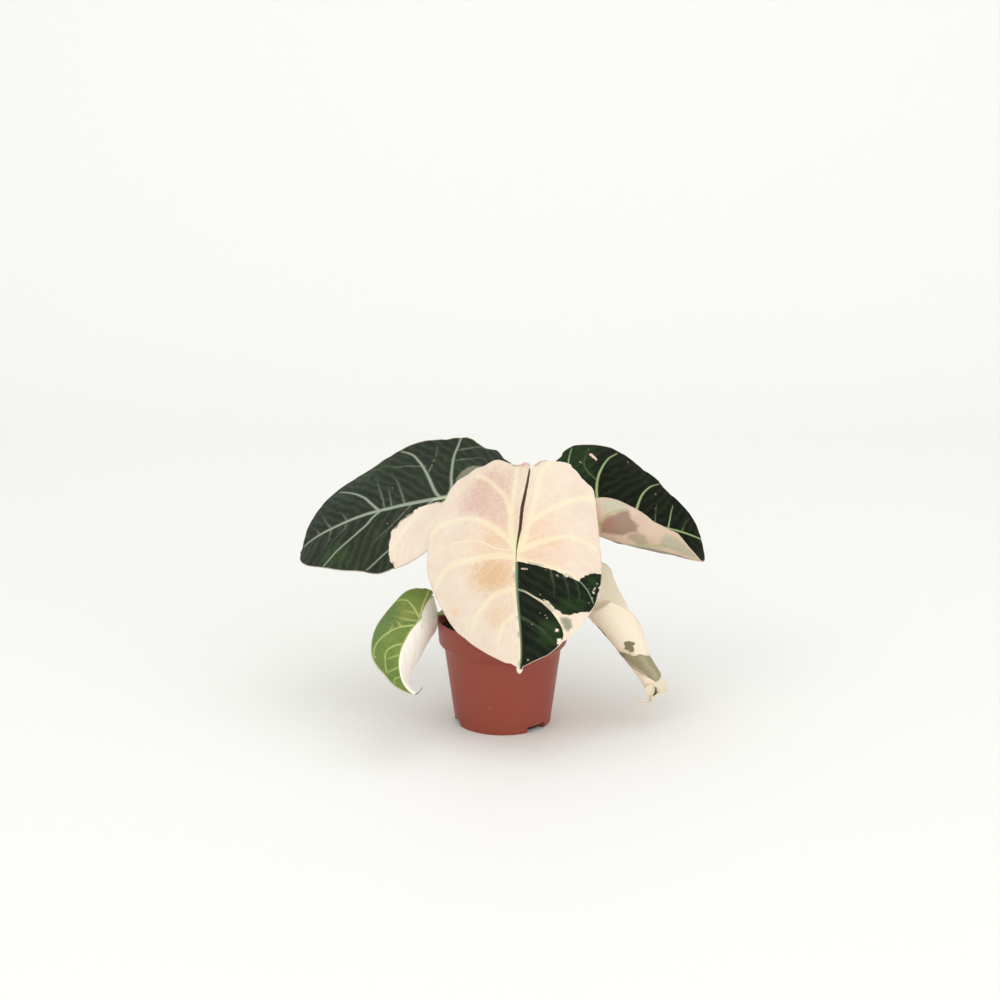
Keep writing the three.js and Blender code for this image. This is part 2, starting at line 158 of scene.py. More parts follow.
# Shape numbers are those of the solid leaves. Vein and patch points are (x, v) in mm on the blade:
# x is plus on the leaf's right half and minus on its left, v runs from the stem joint to the tip.
# A vein is (half width at its start, at its end, points). Patches are laid in order over the base.
# A stain is (layer, colour, mm its edge softens over, strength, shapes). A rim has (degrees round the
# blade's middle, mm outwards) for each half. A nudge is (where, mm it reaches, mm it moves).
# quilt is the mm that the skin swells between veins, wave the mm that it rolls, ridge the share of
# vein colour painted on the crests of soft ridges as a highlight, which also sets how deep their bump looks,
# jag how ragged the patch edges are.
# slitEnd is the share of the lobes' length from which the slit opens, and half its width at the back.
# drip is length, width, curl and turn of the tip. paleVeins and darkVeins are the mm that a halo
# reaches, then the shares of the halo, the core, the side veins and the fine net.
leaves = {
    "front": {
        "joint": (9, -38, 134), "yaw": -100, "pitch": 65, "roll": 5,
        "bend": (15, 0, 6, -11), "sweep": (0, 0, 8, 0), "twist": (-2, 0, -2, 10),
        "rightFold": (-12, -1, -1, -1), "rightCurl": (-22, -14, -22, -16),
        "leftFold": (-22, -15, -9, 6), "leftCurl": (-29, -41, -34, -14),
        "length": 79, "back": 60, "half": 64, "widest": 6, "lobe": 6, "slit": 0.03,
        "tipPower": 2.1, "flankPower": 1.2, "lobePower": 1.9, "lobeRound": 2.7,
        "drip": (4, 4.5, 4, 0), "columns": 80, "lobeRows": 104, "bladeRows": 130, "tipRows": 6,
        "base": "pale", "quilt": 0.22, "jag": 1.0, "sprayGap": 7.5,
        "slitEnd": (0.94, 2.5), "nudges": [((5, -60), 16, (0, 0, -0.7)), ((-20, -60), 16, (0, 0, -0.5))],
        "wave": 0.4, "fringe": 0.5, "gloss": 0.07, "rimShare": 0.5, "minorGlow": 0.14, "ridge": 0.03,
        "paleVeins": (2.8, 0.65, 0.6, 0.8, 0.2), "darkVeins": (0.9, 0.3, 0.7, 0.16, 0.02),
        "seam": [(-60, -2), (-54.7, -1.7), (-49, -1.3), (-42.4, -0.9), (-35.8, -0.2), (-28.3, -0.2),
                 (-20.8, -1), (-12.5, -1), (-5.9, -0.4), (0, 0)],
        "rim": {
            1: [(-87, -2.7), (-82, -3.6), (-78, -1.9), (-75, -0.5), (-72, 0.6), (-69, 0.4), (-66, -0.5),
                (-63, -1.2), (-61, -0.9), (-58, -0.1), (-52, 0.1), (-48, 1.4), (-45, 2.5), (-42, 2.4),
                (-39, 2.2), (-36, 1), (-32, 0.6), (-27, 0.4), (-23, 0.1), (-18, 0.8), (-15, 1.9),
                (-11, 1.4), (-7, 0.6), (-3, 0.3), (3, 0.5), (7, -0.2), (12, -1.1), (16, -1.2),
                (20, -1.5), (26, -1.7), (32, -0.9), (38, 0), (43, 0.6), (49, 0.3), (56, 0.8), (63, 0.8),
                (69, 0.8), (75, 0.7), (81, 0.6), (84, -0.6), (88, 0)],
            -1: [(-88, -3.5), (-86, -3), (-84, -2), (-83, -0.5), (-80, 0.2), (-74, 0.3), (-69, 1),
                 (-66, 1.2), (-65, 0.2), (-62, 0), (-58, -0.7), (-54, 0.2), (-51, 1.7), (-49, 1.7),
                 (-46, 0.7), (-42, -0.7), (-38, -1.5), (-32, -2), (-25, -2.5), (-17, -2), (-9, -1.1),
                 (0, -0.8), (9, -0.4), (18, 0.4), (26, 0.9), (32, 0.8), (38, 0.4), (44, -0.1),
                 (54, 0.1), (59, -0.3), (62, -1.1), (65, -0.4), (70, 0.3), (74, 0.6), (78, -0.1),
                 (83, -0.2), (86, 0)],
        },
        "stains": [
            ("pale", "e3c0a9", 34, 0.8, [[0, 2, 30, 1.15]]),
            ("pale", "d6b3a8", 14, 0.8,
             [[(8, -52), (25, -54), (38, -44), (46, -30), (44, -20), (30, -20), (15, -14), (9, -12),
               (9, -40)]]),
            # painted shadow: a darker pink band where a lobe behind shades the blade through the thin tissue
            ("pale", "d2aa9e", 7, 0.5, [[(24, -50), (36, -44), (37, -25), (26, -22)]]),
            ("pale", "d6ae86", 14, 0.8, [[16, 17, 12, 0.8]]),
            ("pale", "e2bc9c", 9, 0.55, [[16, -6.5, 7, 0.5], [14, 44, 7, 1.1], [-21.5, -7.9, 7, 0.6]]),
            ("pale", "ecc99c", 2, 0.8, [[44.6, 38.2, 2.5, 1]]),
            ("dark", "1f381a", 7, 0.75, [
                [(-14, 50), (-24, 48), (-28, 56), (-27, 63), (-20, 66), (-12, 62)],
                [(-30, 36), (-45, 38), (-46, 44), (-36, 45), (-26, 42)],
                [(-50, 18), (-60, 18), (-58, 28), (-50, 26)]]),
            ("dark", "52624a", 1.2, 0.55, [[(-0.3, 10), (-1.8, 10), (-1.5, 40), (-1.2, 76), (-0.3, 76)]]),
            ("all", "7e8476", 2.4, 0.85,
             [[(-27.4, 48.2), (-31.3, 47.9), (-34.8, 50.6), (-34.8, 54.7), (-31.8, 57.1), (-29.1, 54.8)]]),
            ("all", "dfe3a6", 7, 0.6, [[0, -4, 3, 2]]),
            # painted shade: a dark brown band along the slit between the lobes, where the narrow gap lies in
            # shadow
            ("last", "2a221c", 0.4, 0.95, [[
                (-2.2, -58), (-2, -50), (-1.6, -40), (-1.4, -28), (-2, -14), (-1, -5), (-0.4, 0), (-0.2, 8),
                (0.2, 8), (0.4, 0), (0.25, -5), (0, -14), (1, -28), (0.15, -40), (-0.7, -50),
                (-1.5, -58)]]),
            ("all", "e4d2bd", 0.7, 0.95, [
                [-17.9, 35.3, 0.7, 0.6], [-19.1, 36.8, 0.9, 0.5], [-20.4, 37.6, 0.6, 0.8],
                [-22.2, 39.8, 1, 0.6], [-23.4, 41.3, 0.8, 0.9], [-5.5, 13.3, 0.7, 0.4],
                [-35, 18, 1.1, 0.9], [-27.9, 17.4, 0.6, 0.8], [-20.3, 13.7, 0.6, 0.6],
                [-24, 56.4, 0.7, 1], [-25.2, 63.9, 0.8, 1], [-54.4, 29.9, 0.6, 1.6],
                [-58.8, 28.3, 0.8, 1.2], [-51.8, 36.2, 0.5, 1.4], [-57.7, 24.7, 0.6, 1],
                [-48.8, 39.7, 0.5, 0.8],
                [-14.4, 43.9, 0.35, 1], [-18.7, 47.6, 0.4, 1], [-8.5, 50.7, 0.35, 1], [-5.5, 74, 0.5, 1]]),
        ],
        "midrib": (1.2, 0.4, [(0, -1), (0, 20), (0, 45), (0, 70), (0, 81)]),
        "veins": [
            (1.2, 0.4, [(2, -2), (5.5, -15), (7, -28), (7.3, -42), (7.5, -57)]),
            (0.8, 0.3, [(7, -24), (13, -34), (21, -40), (28, -44.5), (37, -47.5)]),
            (1.1, 0.35, [(1, -1), (5, -5.5), (11, -9.7), (19, -14), (27, -16.7), (37.5, -17.8),
                         (48, -15.5), (57, -12), (62, -8)]),
            (1.2, 0.4, [(0.5, 5.2), (13.6, 4.7), (23.5, 6), (33.7, 7.3), (42, 9.3), (48, 12),
                        (53.6, 16.6), (57.5, 22.5)]),
            (0.9, 0.3, [(0.3, 26), (7.7, 27.7), (13.7, 29), (19, 32.4), (24.5, 37.4), (28, 41.6),
                        (33, 49.6)]),
            (0.55, 0.2, [(0.2, 43), (5.3, 45.7), (9.5, 48), (13.7, 54.5), (15.5, 61)]),
            (1.2, 0.4, [(-1, -1), (-4.2, -5.5), (-5.4, -12.6), (-6, -20), (-7.6, -30), (-8, -38),
                        (-8.6, -47), (-10, -53), (-14, -58)]),
            (0.9, 0.3, [(-5.9, -18), (-10.6, -23.4), (-16.6, -28.5), (-23.7, -33.7), (-31, -37.8),
                        (-40, -41), (-49, -42)]),
            (1.1, 0.35, [(-1, 0.5), (-4.7, -0.8), (-10, -3.7), (-16.6, -7), (-24, -10.5), (-32, -13.6),
                         (-40, -13.8), (-48.5, -12), (-57, -8.5)]),
            (0.75, 0.35, [(-0.5, 6.8), (-6, 8), (-15.7, 9.7), (-25.5, 12.4), (-35.7, 16.6), (-44, 22),
                          (-48.7, 28.5), (-51, 34.4), (-52, 40)]),
            (0.7, 0.35, [(-0.5, 27), (-5.7, 28.6), (-11, 32.4), (-16.5, 36.7), (-21.7, 42.5),
                         (-26, 48.6), (-28.7, 54.3), (-29.5, 60)]),
        ],
        "minor": [
            [(5, 1), (14, 0), (21, -2.4), (28, -4.4), (37, -3.7), (46, -2), (53.5, 0.6), (60, 5)],
            [(-1, 45), (-11.4, 52), (-17.6, 58), (-22.2, 63.6)],
            [(-23.5, 13.5), (-25.2, 25.5), (-25, 36)],
            [(-32.5, 16.5), (-35, 27), (-35, 38)],
            [(-40.7, 21), (-43, 32), (-41, 39)],
        ],
        "patches": [
            ("dark", [(0.4, 8), (-6, 9), (-15.7, 10.9), (-25.5, 13.5), (-35.6, 18), (-44, 22.6),
                      (-45, 20), (-48.6, 17.4), (-54.6, 15), (-66, 15.4), (-61, 25), (-57, 33.5),
                      (-52.3, 42), (-47.8, 46), (-44.8, 45.8), (-38.8, 45.8), (-33.7, 47.3),
                      (-29, 45.5), (-25.4, 43.3), (-22, 39), (-17.5, 36), (-11, 31.8), (-5.7, 28.4),
                      (0.4, 26)]),
            ("dark", [(0.4, 26), (-5.6, 29), (-11, 32.8), (-16.5, 37.3), (-21.7, 43.2), (-25.4, 49),
                      (-27.8, 54.2), (-28.9, 58.7), (-28.6, 60.5), (-27, 63), (-25, 66), (-20, 72),
                      (-11, 77), (-3.5, 80), (0.2, 80), (0.2, 67), (0.3, 45)]),
            ("pale", [(-32.5, 16.6), (-35.8, 17.4), (-34.8, 19.2), (-32.8, 18.4)]),
            ("pale", [(-27, 17.2), (-29, 17.6), (-28.6, 18.7), (-27.2, 18.4)]),
            ("pale", [(-3.8, 12.4), (-8, 12.8), (-7.6, 13.8), (-4, 13.5)]),
            ("pale", [(-17, 35), (-20.5, 36.4), (-22.8, 39), (-20.2, 38.2)]),
            ("pale", [(-24.5, 42.5), (-28.3, 44.4), (-28, 46.6), (-25.2, 45.2)]),
            ("pale", [(-24, 55.4), (-25.8, 55.6), (-25.4, 57.2)]),
            ("pale", [(-24.6, 61.4), (-27.8, 61.2), (-27, 64.8), (-24.8, 64.4)]),
            ("pale", [(-54.4, 27.6), (-56.6, 27.8), (-55.6, 29.6)]),
            ("pale", [(-52.8, 31), (-54.8, 31.6), (-53.6, 33.4)]),
        ],
        "palette": {"pale": "e9d6c5", "blush": "e2c5b4", "paleVein": "f0e3c3", "dark": "101711",
                    "bright": "172614", "darkVein": "8fa083", "grey": "8c9080",
                    "underPale": "ead8c6", "underBlush": "dfc4b2", "underDark": "8b8f78",
                    "underVein": "dcd7a8", "edge": "f2e0d2"},
    },
    "left_rear": {
        "joint": (-37, 47, 147), "yaw": 176, "pitch": 7, "roll": -22,
        "bend": (-1, 0, 11, 46), "sweep": (0, 0, 9, -6), "twist": (4, 0, -3, -1),
        "rightFold": (-10, 3, 5, 4), "rightCurl": (-25, 5, -30, -1),
        "leftFold": (4, 4, 1, 3), "leftCurl": (-13, 8, -30, -6),
        "length": 117, "back": 52, "half": 61, "widest": 11, "lobe": 21, "slit": 2,
        "tipPower": 2, "flankPower": 1.5, "lobePower": 2.2, "lobeRound": 1.9,
        "drip": (1, 1.4, 4, 0), "columns": 60, "lobeRows": 70, "bladeRows": 130, "tipRows": 3,
        "base": "dark", "quilt": 0.65, "jag": 1.0, "sprayGap": 6.5,
        "slitEnd": (0.8, 21), "nudges": [((60, 26), 14, (0, -0.8, 1.1))], "wave": 0.35,
        "fringe": 0.9, "gloss": 0.14, "rimShare": 0.8, "minorGlow": 0.22, "ridge": 0.05,
        "paleVeins": (3, 0.4, 0.4, 0.4, 0.06), "darkVeins": (1.3, 0.35, 0.85, 0.4, 0.03),
        "rim": {
            1: [(-50, 0), (-44, -2.6), (-40, -0.5), (-36, 1.5), (-35, 0), (-32, -2.9), (-29, -2.8),
                (-25, -1.5), (-22, 0.6), (-18, 1.6), (-15, 0.9), (-11, -0.4), (-7, -2), (-4, -1.3),
                (1, -1), (6, 0.3), (10, 0.6), (14, 0.8), (17, 0.6), (21, 1), (25, 0.2), (29, 1.2),
                (34, -0.6), (38, -0.8), (42, 0.5), (47, 1.7), (51, 4.5), (57, 5), (61, 5), (65, 4),
                (69, 3), (72, 4.5), (78, 4), (84, 1.5), (88, 0)],
            -1: [(-10, 0), (6, 0.9), (10, 1), (17, 1), (26, 0.6), (35, 0.4), (40, 1.7), (44, 2.5),
                 (49, 1.8), (53, 0.5), (57, 0.4), (62, 0.9), (67, 1.2), (71, 1), (77, 2.9), (81, 2.6),
                 (85, 1.4), (88, 0)],
        },
        "stains": [
            ("dark", "2f4726", 8, 0.6, [[-25, 88, 8, 1.3], [50, 52, 8, 1.3]]),
            ("all", "8b897a", 1.6, 0.85,
             [[(11, -3.5), (16.3, -4.1), (22.8, -6.4), (28, -10.4), (30.2, -13.6), (31, -20), (22, -24),
               (12, -16)]]),
            ("all", "c9d3ac", 1.2, 0.6, [[(-1.6, -2), (1, -2), (0.2, 6), (-0.6, 12), (-3, 12), (-2.6, 4)]]),
            ("all", "b9bfa8", 0.4, 0.9, [
                [47.8, -18, 0.4, 1], [46, -19.3, 0.4, 1], [47.6, -21.3, 0.4, 1], [44.4, -21.1, 0.4, 1],
                [39.5, -22.6, 0.5, 1], [-18.9, 55.8, 0.4, 1], [-19.9, 61.3, 0.5, 1], [-20.6, 57.1, 0.35, 1],
                [-23.4, 58.6, 0.4, 1], [-25.3, 56.5, 0.4, 1], [-30.5, 58.9, 0.4, 1], [30.4, 34.2, 0.35, 1],
                [13.2, 51.6, 0.35, 1], [18, 30.2, 0.35, 1], [7.3, 25.7, 0.35, 1], [13.1, 31.8, 0.35, 1]]),
        ],
        "midrib": (2.1, 0.5, [(-0.5, -1), (-2, 14), (-2.2, 30), (-2, 43), (-1, 53), (0, 66), (1, 84),
                              (2.5, 97), (4, 114)]),
        "veins": [
            (1.15, 0.35, [(-1, 6), (2.2, 8.3), (9, 11), (24.4, 15), (34.8, 18), (43, 21), (48.4, 23.3),
                          (53.8, 27.2), (58, 31)]),
            (1.0, 0.35, [(1, 1), (8, -1), (19.3, -0.7), (31, -1.1), (41.4, -2), (50.4, -4), (60, -6)]),
            (0.9, 0.3, [(-1, 50), (2, 52), (9.7, 55.6), (16.4, 58.6), (23, 62.7), (31.7, 69.2),
                        (42, 79)]),
            (0.75, 0.3, [(-2.5, 50), (-6.3, 55.8), (-11.2, 61.2), (-14.7, 68.6), (-18.3, 77),
                         (-22, 85.5), (-25.6, 92), (-29, 97)]),
            (0.6, 0.3, [(-4, 12), (-13.7, 21), (-22.2, 28), (-29, 33.5), (-34.7, 39.3), (-38, 44),
                        (-40.4, 49.4), (-42, 54.7), (-44.3, 61.8), (-46.4, 69)]),
            (0.5, 0.25, [(-3, 1), (-8, 2), (-18, 5), (-29.3, 10.5), (-40.4, 15.5), (-51.3, 22.3),
                         (-56, 27)]),
            (0.8, 0.3, [(-2, -2), (-8, -14), (-15, -27), (-22, -40)]),
            (0.8, 0.3, [(4, -1), (12, -14), (19, -27), (24, -42)]),
        ],
        "minor": [
            [(0, 32), (6.8, 32.7), (15, 33.8), (26, 35.7), (36, 39.4)],
            [(-1, 46), (13.8, 47), (26.4, 48.2), (38, 49.8)],
            [(-1, 41), (14, 41.3), (22, 41.6)],
            [(25.8, 15), (32, 12.5), (44.5, 9.2), (55, 8.4)],
            [(37.6, -1.5), (38, -7.5), (39, -14), (42, -20.4)],
            [(47.8, -4), (49.2, -10.4), (52, -18), (52, -28)],
            [(34.8, 18), (38.5, 27.6), (41.6, 35.8), (50, 44)],
            [(0.5, 74), (6.5, 75.6), (14, 79)],
            [(1.5, 87), (12, 91), (21, 94)],
            [(2.5, 97), (10, 100.5)],
            [(0.5, 74), (-6.6, 77.9), (-10, 84.3), (-13, 88)],
            [(1, 87), (-8.6, 90.2), (-15, 95)],
            [(-4, 27), (-12.8, 35), (-20, 42.4), (-24.7, 51), (-30.5, 62)],
        ],
        "patches": [
            ("pale", [(-4, 1), (-7, 6), (-7.2, 13.7), (-9.3, 21), (-14.2, 27.6), (-17.4, 33.5),
                      (-21.7, 38.7), (-25.7, 43.6), (-31.8, 45.6), (-40.2, 48.8), (-44.2, 49.2),
                      (-49.3, 49.3), (-54.5, 47.1), (-68, 46), (-68, 4), (-40, -8), (-16, -6)]),
        ],
        "palette": {"pale": "edd9c8", "blush": "e6cab8", "paleVein": "f7ecd2", "dark": "1e261f",
                    "bright": "273a22", "darkVein": "a3ae9b", "grey": "8b897a",
                    "underPale": "ead3c4", "underBlush": "dfbfae", "underDark": "7f8670",
                    "underVein": "c3c79c", "edge": "cfc5b6"},
    },
    "right_rear": {
        "joint": (63, 32, 144), "yaw": 3, "pitch": 21, "roll": 37,
        "bend": (-25, 0, 0, 31), "sweep": (0, 0, 5, 24), "twist": (-4, 0, -3, -1),
        "rightFold": (-14, -37, -29, -4), "rightCurl": (156, 197, 173, 92),
        "leftFold": (-14, 3, -4, 1), "leftCurl": (-15, -27, -16, -11),
        "length": 84, "back": 39, "half": 67, "widest": 7, "lobe": 24, "slit": 2,
        "tipPower": 2.2, "flankPower": 1.5, "lobePower": 2.2, "lobeRound": 2,
        "drip": (1, 1.4, 4, 0), "columns": 66, "lobeRows": 56, "bladeRows": 104, "tipRows": 3,
        "base": "dark", "quilt": 0.45, "jag": 0.8, "sprayGap": 7,
        "slitEnd": (0.8, 24), "wave": 0.3,
        "fringe": 0.6, "gloss": 0.05, "rimShare": 0.9, "minorGlow": 0.1, "ridge": 0.025,
        "paleVeins": (2.2, 0.3, 0.7, 0.4, 0.06), "darkVeins": (1.1, 0.3, 0.95, 0.3, 0.02),
        "rim": {
            -1: [(-50, 0), (-41, -3.1), (-37, 0.4), (-32, 1.1), (-28, 1), (-23, -1.5), (-15, -2.5),
                 (-8, -0.9), (-2, 1), (3, 0.6), (9, 0.3), (17, -1.5), (25, -2.3), (33, -0.9), (40, 0.1),
                 (47, -2.2), (55, -1.9), (61, -0.1), (66, 0.9), (71, 1.7), (76, 2.3), (81, 2.2),
                 (86, 0.6)],
            1: [(-25, 0), (-15, -1.3), (-12, 0), (-7, 1.1), (-2, 1.4), (3, 0.8), (9, 0.4), (16, -0.3),
                (21, -1.1), (25, 0.1), (30, 1.5), (33, 3.2), (37, 2.7), (42, 1.9), (48, 1.4), (60, 0)],
        },
        "stains": [
            ("dark", "21381a", 10, 0.6, [[(-20, -35), (-60, -35), (-60, -5), (-20, -5)]]),
            ("underPale", "b9bba8", 3.2, 0.8,
             [[(63.3, -3.4), (67.6, 4), (66.9, 15), (61.8, 11.4), (60, 6.4), (59.1, 0.4)]]),
            ("underPale", "8c7364", 3.2, 0.85,
             [[(48.2, 1.4), (54.9, 3.2), (61.6, 10.9), (63.9, 15.9), (59.2, 19.2), (55.8, 24.8), (52, 25.6),
               (46.2, 19.2), (43.2, 11.7), (41.4, 5)]]),
            ("underPale", "a8716a", 4, 0.5, [[(48, 1), (56, 4), (53, 12), (44, 9)]]),
            ("underPale", "9c927e", 3.2, 0.75,
             [[(52, 25.6), (49.1, 32.4), (44.2, 36.4), (39.7, 31), (42.9, 25.2), (45, 20.8)]]),
            ("underPale", "a9aa95", 3.2, 0.8,
             [[(50.2, 40.9), (56.6, 43), (54, 52), (48, 60), (42, 66), (42, 58), (45, 50), (45.7, 43.4)]]),
            ("underPale", "b0b19b", 2.5, 0.6,
             [[(37.6, 24.6), (43.2, 36.7), (46.5, 46.2), (39.2, 44), (31.4, 28.6)]]),
        ],
        "midrib": (1.4, 0.5, [(0, -1), (0, 30), (-0.8, 56), (-1, 66), (-0.4, 75), (0, 86)]),
        "veins": [
            (1.0, 0.3, [(-1, 0), (-8, 0.7), (-12, -0.2), (-21.4, -1.1), (-30.8, -0.5), (-42, 2),
                        (-53, 6), (-64, 12.5)]),
            (0.9, 0.3, [(-1, 28), (-11, 30.8), (-18, 32.2), (-26, 34.3), (-34.4, 38.4), (-42, 44.2),
                        (-48, 53)]),
            (0.6, 0.2, [(-3, -3), (-15, -15), (-28, -22), (-37.6, -23.6), (-45, -23.6), (-56, -22.8)]),
            (0.45, 0.15, [(-0.5, 55), (-8.5, 57), (-18.5, 60), (-26, 63.4)]),
            (0.9, 0.35, [(1, 1), (20, -2), (35, -2), (49.7, 1.2), (56.6, 3), (60.5, 7.2),
                         (63.5, 12.5)]),
            (0.6, 0.3, [(1, 5), (20, 14), (30, 20), (35.4, 24.8), (40, 34), (46.4, 42.5), (47, 52)]),
            (0.5, 0.2, [(1, 48), (14, 52), (26, 58), (36, 66)]),
        ],
        "minor": [
            [(-1, 45), (-13.6, 46), (-23.8, 48)],
            [(-1, 66), (-4.2, 67.4), (-12, 72.7), (-17.3, 79)],
            [(-23.3, -1.7), (-26.7, -6.7), (-32, -11.3), (-40.7, -12.5), (-54.4, -10.4)],
        ],
        "patches": [
            ("pale", [(36, -42), (33, 0), (33, 14), (35, 26), (39, 40), (38, 56), (28, 74), (74, 74),
                      (76, -42)]),
            ("pale", [(-50.6, -9), (-49, -7), (-45, -3.2), (-42.6, -3.4), (-44.5, -6), (-48, -9.8)]),
            ("pale", [(-36, -14), (-38, -14.6), (-37, -16)]),
            ("pale", [(-54.6, -10), (-56, -10.4), (-55.2, -11.4)]),
            ("pale", [(-57.4, 21.4), (-58.8, 21.6), (-58, 22.6)]),
            ("pale", [(-32.2, 46.6), (-33.6, 47), (-32.8, 48)]),
        ],
        "palette": {"pale": "e6c6b4", "blush": "dfb5a4", "paleVein": "d9cfa2", "dark": "0a0e09",
                    "bright": "101a0d", "darkVein": "9ab07a", "grey": "9a9784",
                    "underPale": "d3bba8", "underBlush": "c4a093", "underDark": "8e8878",
                    "underVein": "a3ab74", "edge": "c9b6a2"},
    },
    "right_low": {
        "joint": (57, 8, 87), "yaw": 9, "pitch": 55, "roll": 4,
        "bend": (1, 0, -2, 7, 25), "sweep": (0, 0, -14, -6, -99), "twist": (19, 0, 20, 21, 54),
        "rightFold": (-27, -43, -33, -36, 47), "rightCurl": (83, 130, 273, 391, 102),
        "leftFold": (2, 19, -4, -23, 75), "leftCurl": (-6, 12, -29, 37, -25),
        "length": 89, "back": 34, "half": 48, "widest": 10, "lobe": 16, "slit": 2,
        "tipPower": 2.4, "flankPower": 1.2, "lobePower": 1.6, "lobeRound": 1.6,
        "drip": (1.5, 1.8, 0, 0), "columns": 60, "lobeRows": 48, "bladeRows": 120, "tipRows": 20,
        "base": "pale", "quilt": 0.15, "jag": 0.8, "sprayGap": 8,
        "slitEnd": (0.8, 16), "wave": 0.2,
        "fringe": 0.3, "gloss": 0.15, "rimShare": 0.6, "minorGlow": 0.15, "ridge": 0.01,
        "paleVeins": (2.2, 0.25, 0.6, 0.4, 0.05), "darkVeins": (0.9, 0.2, 0.5, 0.3, 0.03),
        "rim": {
            -1: [(-20, 0), (-11, -1.4), (-8, 1.6), (-5, 1.5), (-3, -3.5), (2, -6.4), (7, -7),
                 (13, -5.9), (16, -2), (25, 0)],
            1: [(-34, -0.1), (-26, 0.1), (0, 2.4), (13, 1.3), (18, 0.7), (21, 0.2), (25, -0.3),
                (30, -1.2), (36, -2.4), (38, 1.8), (44, 0.4), (50, 0.4), (54, 1.9), (59, 3), (75, 1),
                (90, 0)],
        },
        "stains": [
            ("underDark", "968c70", 3.2, 0.8,
             [[(17.4, 45), (21.8, 46.6), (22, 50), (25.5, 50.7), (29, 56.5), (29, 62.5), (26, 76),
               (19.9, 76), (13, 58), (13, 50)]]),
            ("underDark", "a4a386", 3, 0.7, [[(22, 52), (25, 52), (24, 60), (23, 75), (20, 74), (20, 62)]]),
            ("underAll", "a7988f", 1.4, 0.75,
             [[(9, 44), (8, 51), (11, 55), (14.2, 59), (15, 55), (14.6, 49), (13, 44)]]),
        ],
        "midrib": (1.2, 0.4, [(0, -1), (0, 30), (0, 60), (0, 89), (0, 100)]),
        "veins": [
            (0.9, 0.3, [(-1, 8), (-13.9, 10.7), (-22.2, 11), (-32, 12), (-44, 14)]),
            (0.8, 0.3, [(1, 12), (14, 17), (26.6, 21), (30.5, 26.6), (33, 31)]),
            (0.6, 0.25, [(-1, 34), (-14, 40), (-26, 50), (-33, 62)]),
            (0.6, 0.25, [(1, 36), (10, 44), (15, 56), (17, 66)]),
            (0.8, 0.3, [(-1, -2), (-8, -15), (-15, -28)]),
            (0.8, 0.3, [(1, -2), (8, -15), (15, -28)]),
        ],
        "minor": [],
        "patches": [
            ("dark", [(19, 20.5), (20.5, 24.5), (19, 30), (15, 33.4), (12.4, 35.5), (10.6, 33), (11.5, 28),
                      (13, 22)]),
            ("dark", [(25, 40.7), (27.2, 41.2), (28.2, 43), (27.4, 44.9), (25.6, 44.6), (25, 46.6),
                      (22.4, 47.4), (20.4, 46.2), (21.4, 44.8), (19.8, 43.2), (22, 42.6), (23.2, 41)]),
            ("dark", [(13.9, 42.6), (18.8, 46.3), (20.7, 49.2), (24.5, 50.8), (27, 54), (29, 57), (29, 66),
                      (26, 76), (20, 76), (17, 67), (14.5, 60), (12.5, 54), (11.5, 47)]),
            ("dark", [(-5, 79), (-3.6, 80.4), (-1.6, 84), (-0.2, 89), (-1.6, 89), (-3, 84.5),
                      (-5.6, 80.6)]),
        ],
        "palette": {"pale": "fdeed3", "blush": "f8e3ca", "paleVein": "f5ebd0", "dark": "3a4a2a",
                    "bright": "46592f", "darkVein": "6c7a50", "grey": "8c8b70",
                    "underPale": "f0dfc8", "underBlush": "e8d2bc", "underDark": "76704f",
                    "underVein": "f1e3c6", "edge": "e2c4ad"},
    },
    "left_low": {
        "joint": (-56, -27, 83), "yaw": -116, "pitch": 29, "roll": -26,
        "bend": (-11, 0, 6, -17), "sweep": (0, 0, 14, 88), "twist": (-6, 0, -10, -19),
        "rightFold": (-2, -12, 1, 5), "rightCurl": (-22, -28, -21, -14),
        "leftFold": (-49, -39, -38, -28), "leftCurl": (-14, -49, -34, -20),
        "length": 67, "back": 25, "half": 26, "widest": 4, "lobe": 2, "slit": 0.05,
        "tipPower": 1.9, "flankPower": 1.2, "lobePower": 2.2, "lobeRound": 2,
        "drip": (0.6, 1, 0, 0), "columns": 40, "lobeRows": 44, "bladeRows": 92, "tipRows": 12,
        "base": "pale", "quilt": 0.3, "jag": 0.25, "sprayGap": 5,
        "slitEnd": (0.9, 2), "nudges": [((6, 62), 9, (0, 0.8, 0))], "wave": 0.2,
        "fringe": 0, "gloss": 0.2, "rimShare": 0.5, "minorGlow": 0.35, "ridge": 0.02,
        "paleVeins": (1.8, 0.25, 0.6, 0.35, 0.05), "darkVeins": (1.2, 0.35, 0.8, 0.6, 0.12),
        "rim": {
            1: [(-81, 1), (-76, -0.1), (-71, 0.3), (-58, 0.3), (-50, -0.1), (-41, -0.6), (-30, -0.8),
                (5, -0.5), (22, -0.5), (37, -0.2), (48, 0.7), (54, 1.5), (60, 1.6), (66, 0.6),
                (71, -0.6), (76, 0), (79, 0.8), (84, 1.2), (90, 0)],
            -1: [(-86, -2.2), (-78, -2.4), (-69, -1.4), (-59, -1.2), (-49, 1.9), (-41, 2), (-31, -1.5),
                 (-18, -2), (18, 1.6), (38, -0.9), (54, -1.3), (61, 1.1), (72, 1.5), (90, 0)],
        },
        "stains": [
            ("pale", "e2d0b2", 1.5, 0.7, [[-11.6, -12.1, 1.4, 1], [-5.6, 3.9, 1.2, 1]]),
            ("dark", "4f6f45", 7, 0.5, [[24, 12, 8, 2.6]]),
            ("dark", "8d9048", 6, 0.55, [[9, 2, 5, 1]]),
            ("dark", "4b6a33", 1, 0.5, [[11, 13.5, 0.8, 1], [13.5, 6, 1, 1]]),
        ],
        "midrib": (0.8, 0.3, [(0, -1), (-0.7, 6.5), (0.5, 12.5), (1, 20), (1.4, 30), (1.1, 40),
                              (0.9, 50), (1.9, 58), (2.8, 65)]),
        "veins": [
            (0.6, 0.25, [(-0.6, 0.4), (1.5, -7), (2.6, -14), (3.1, -20), (3.7, -25)]),
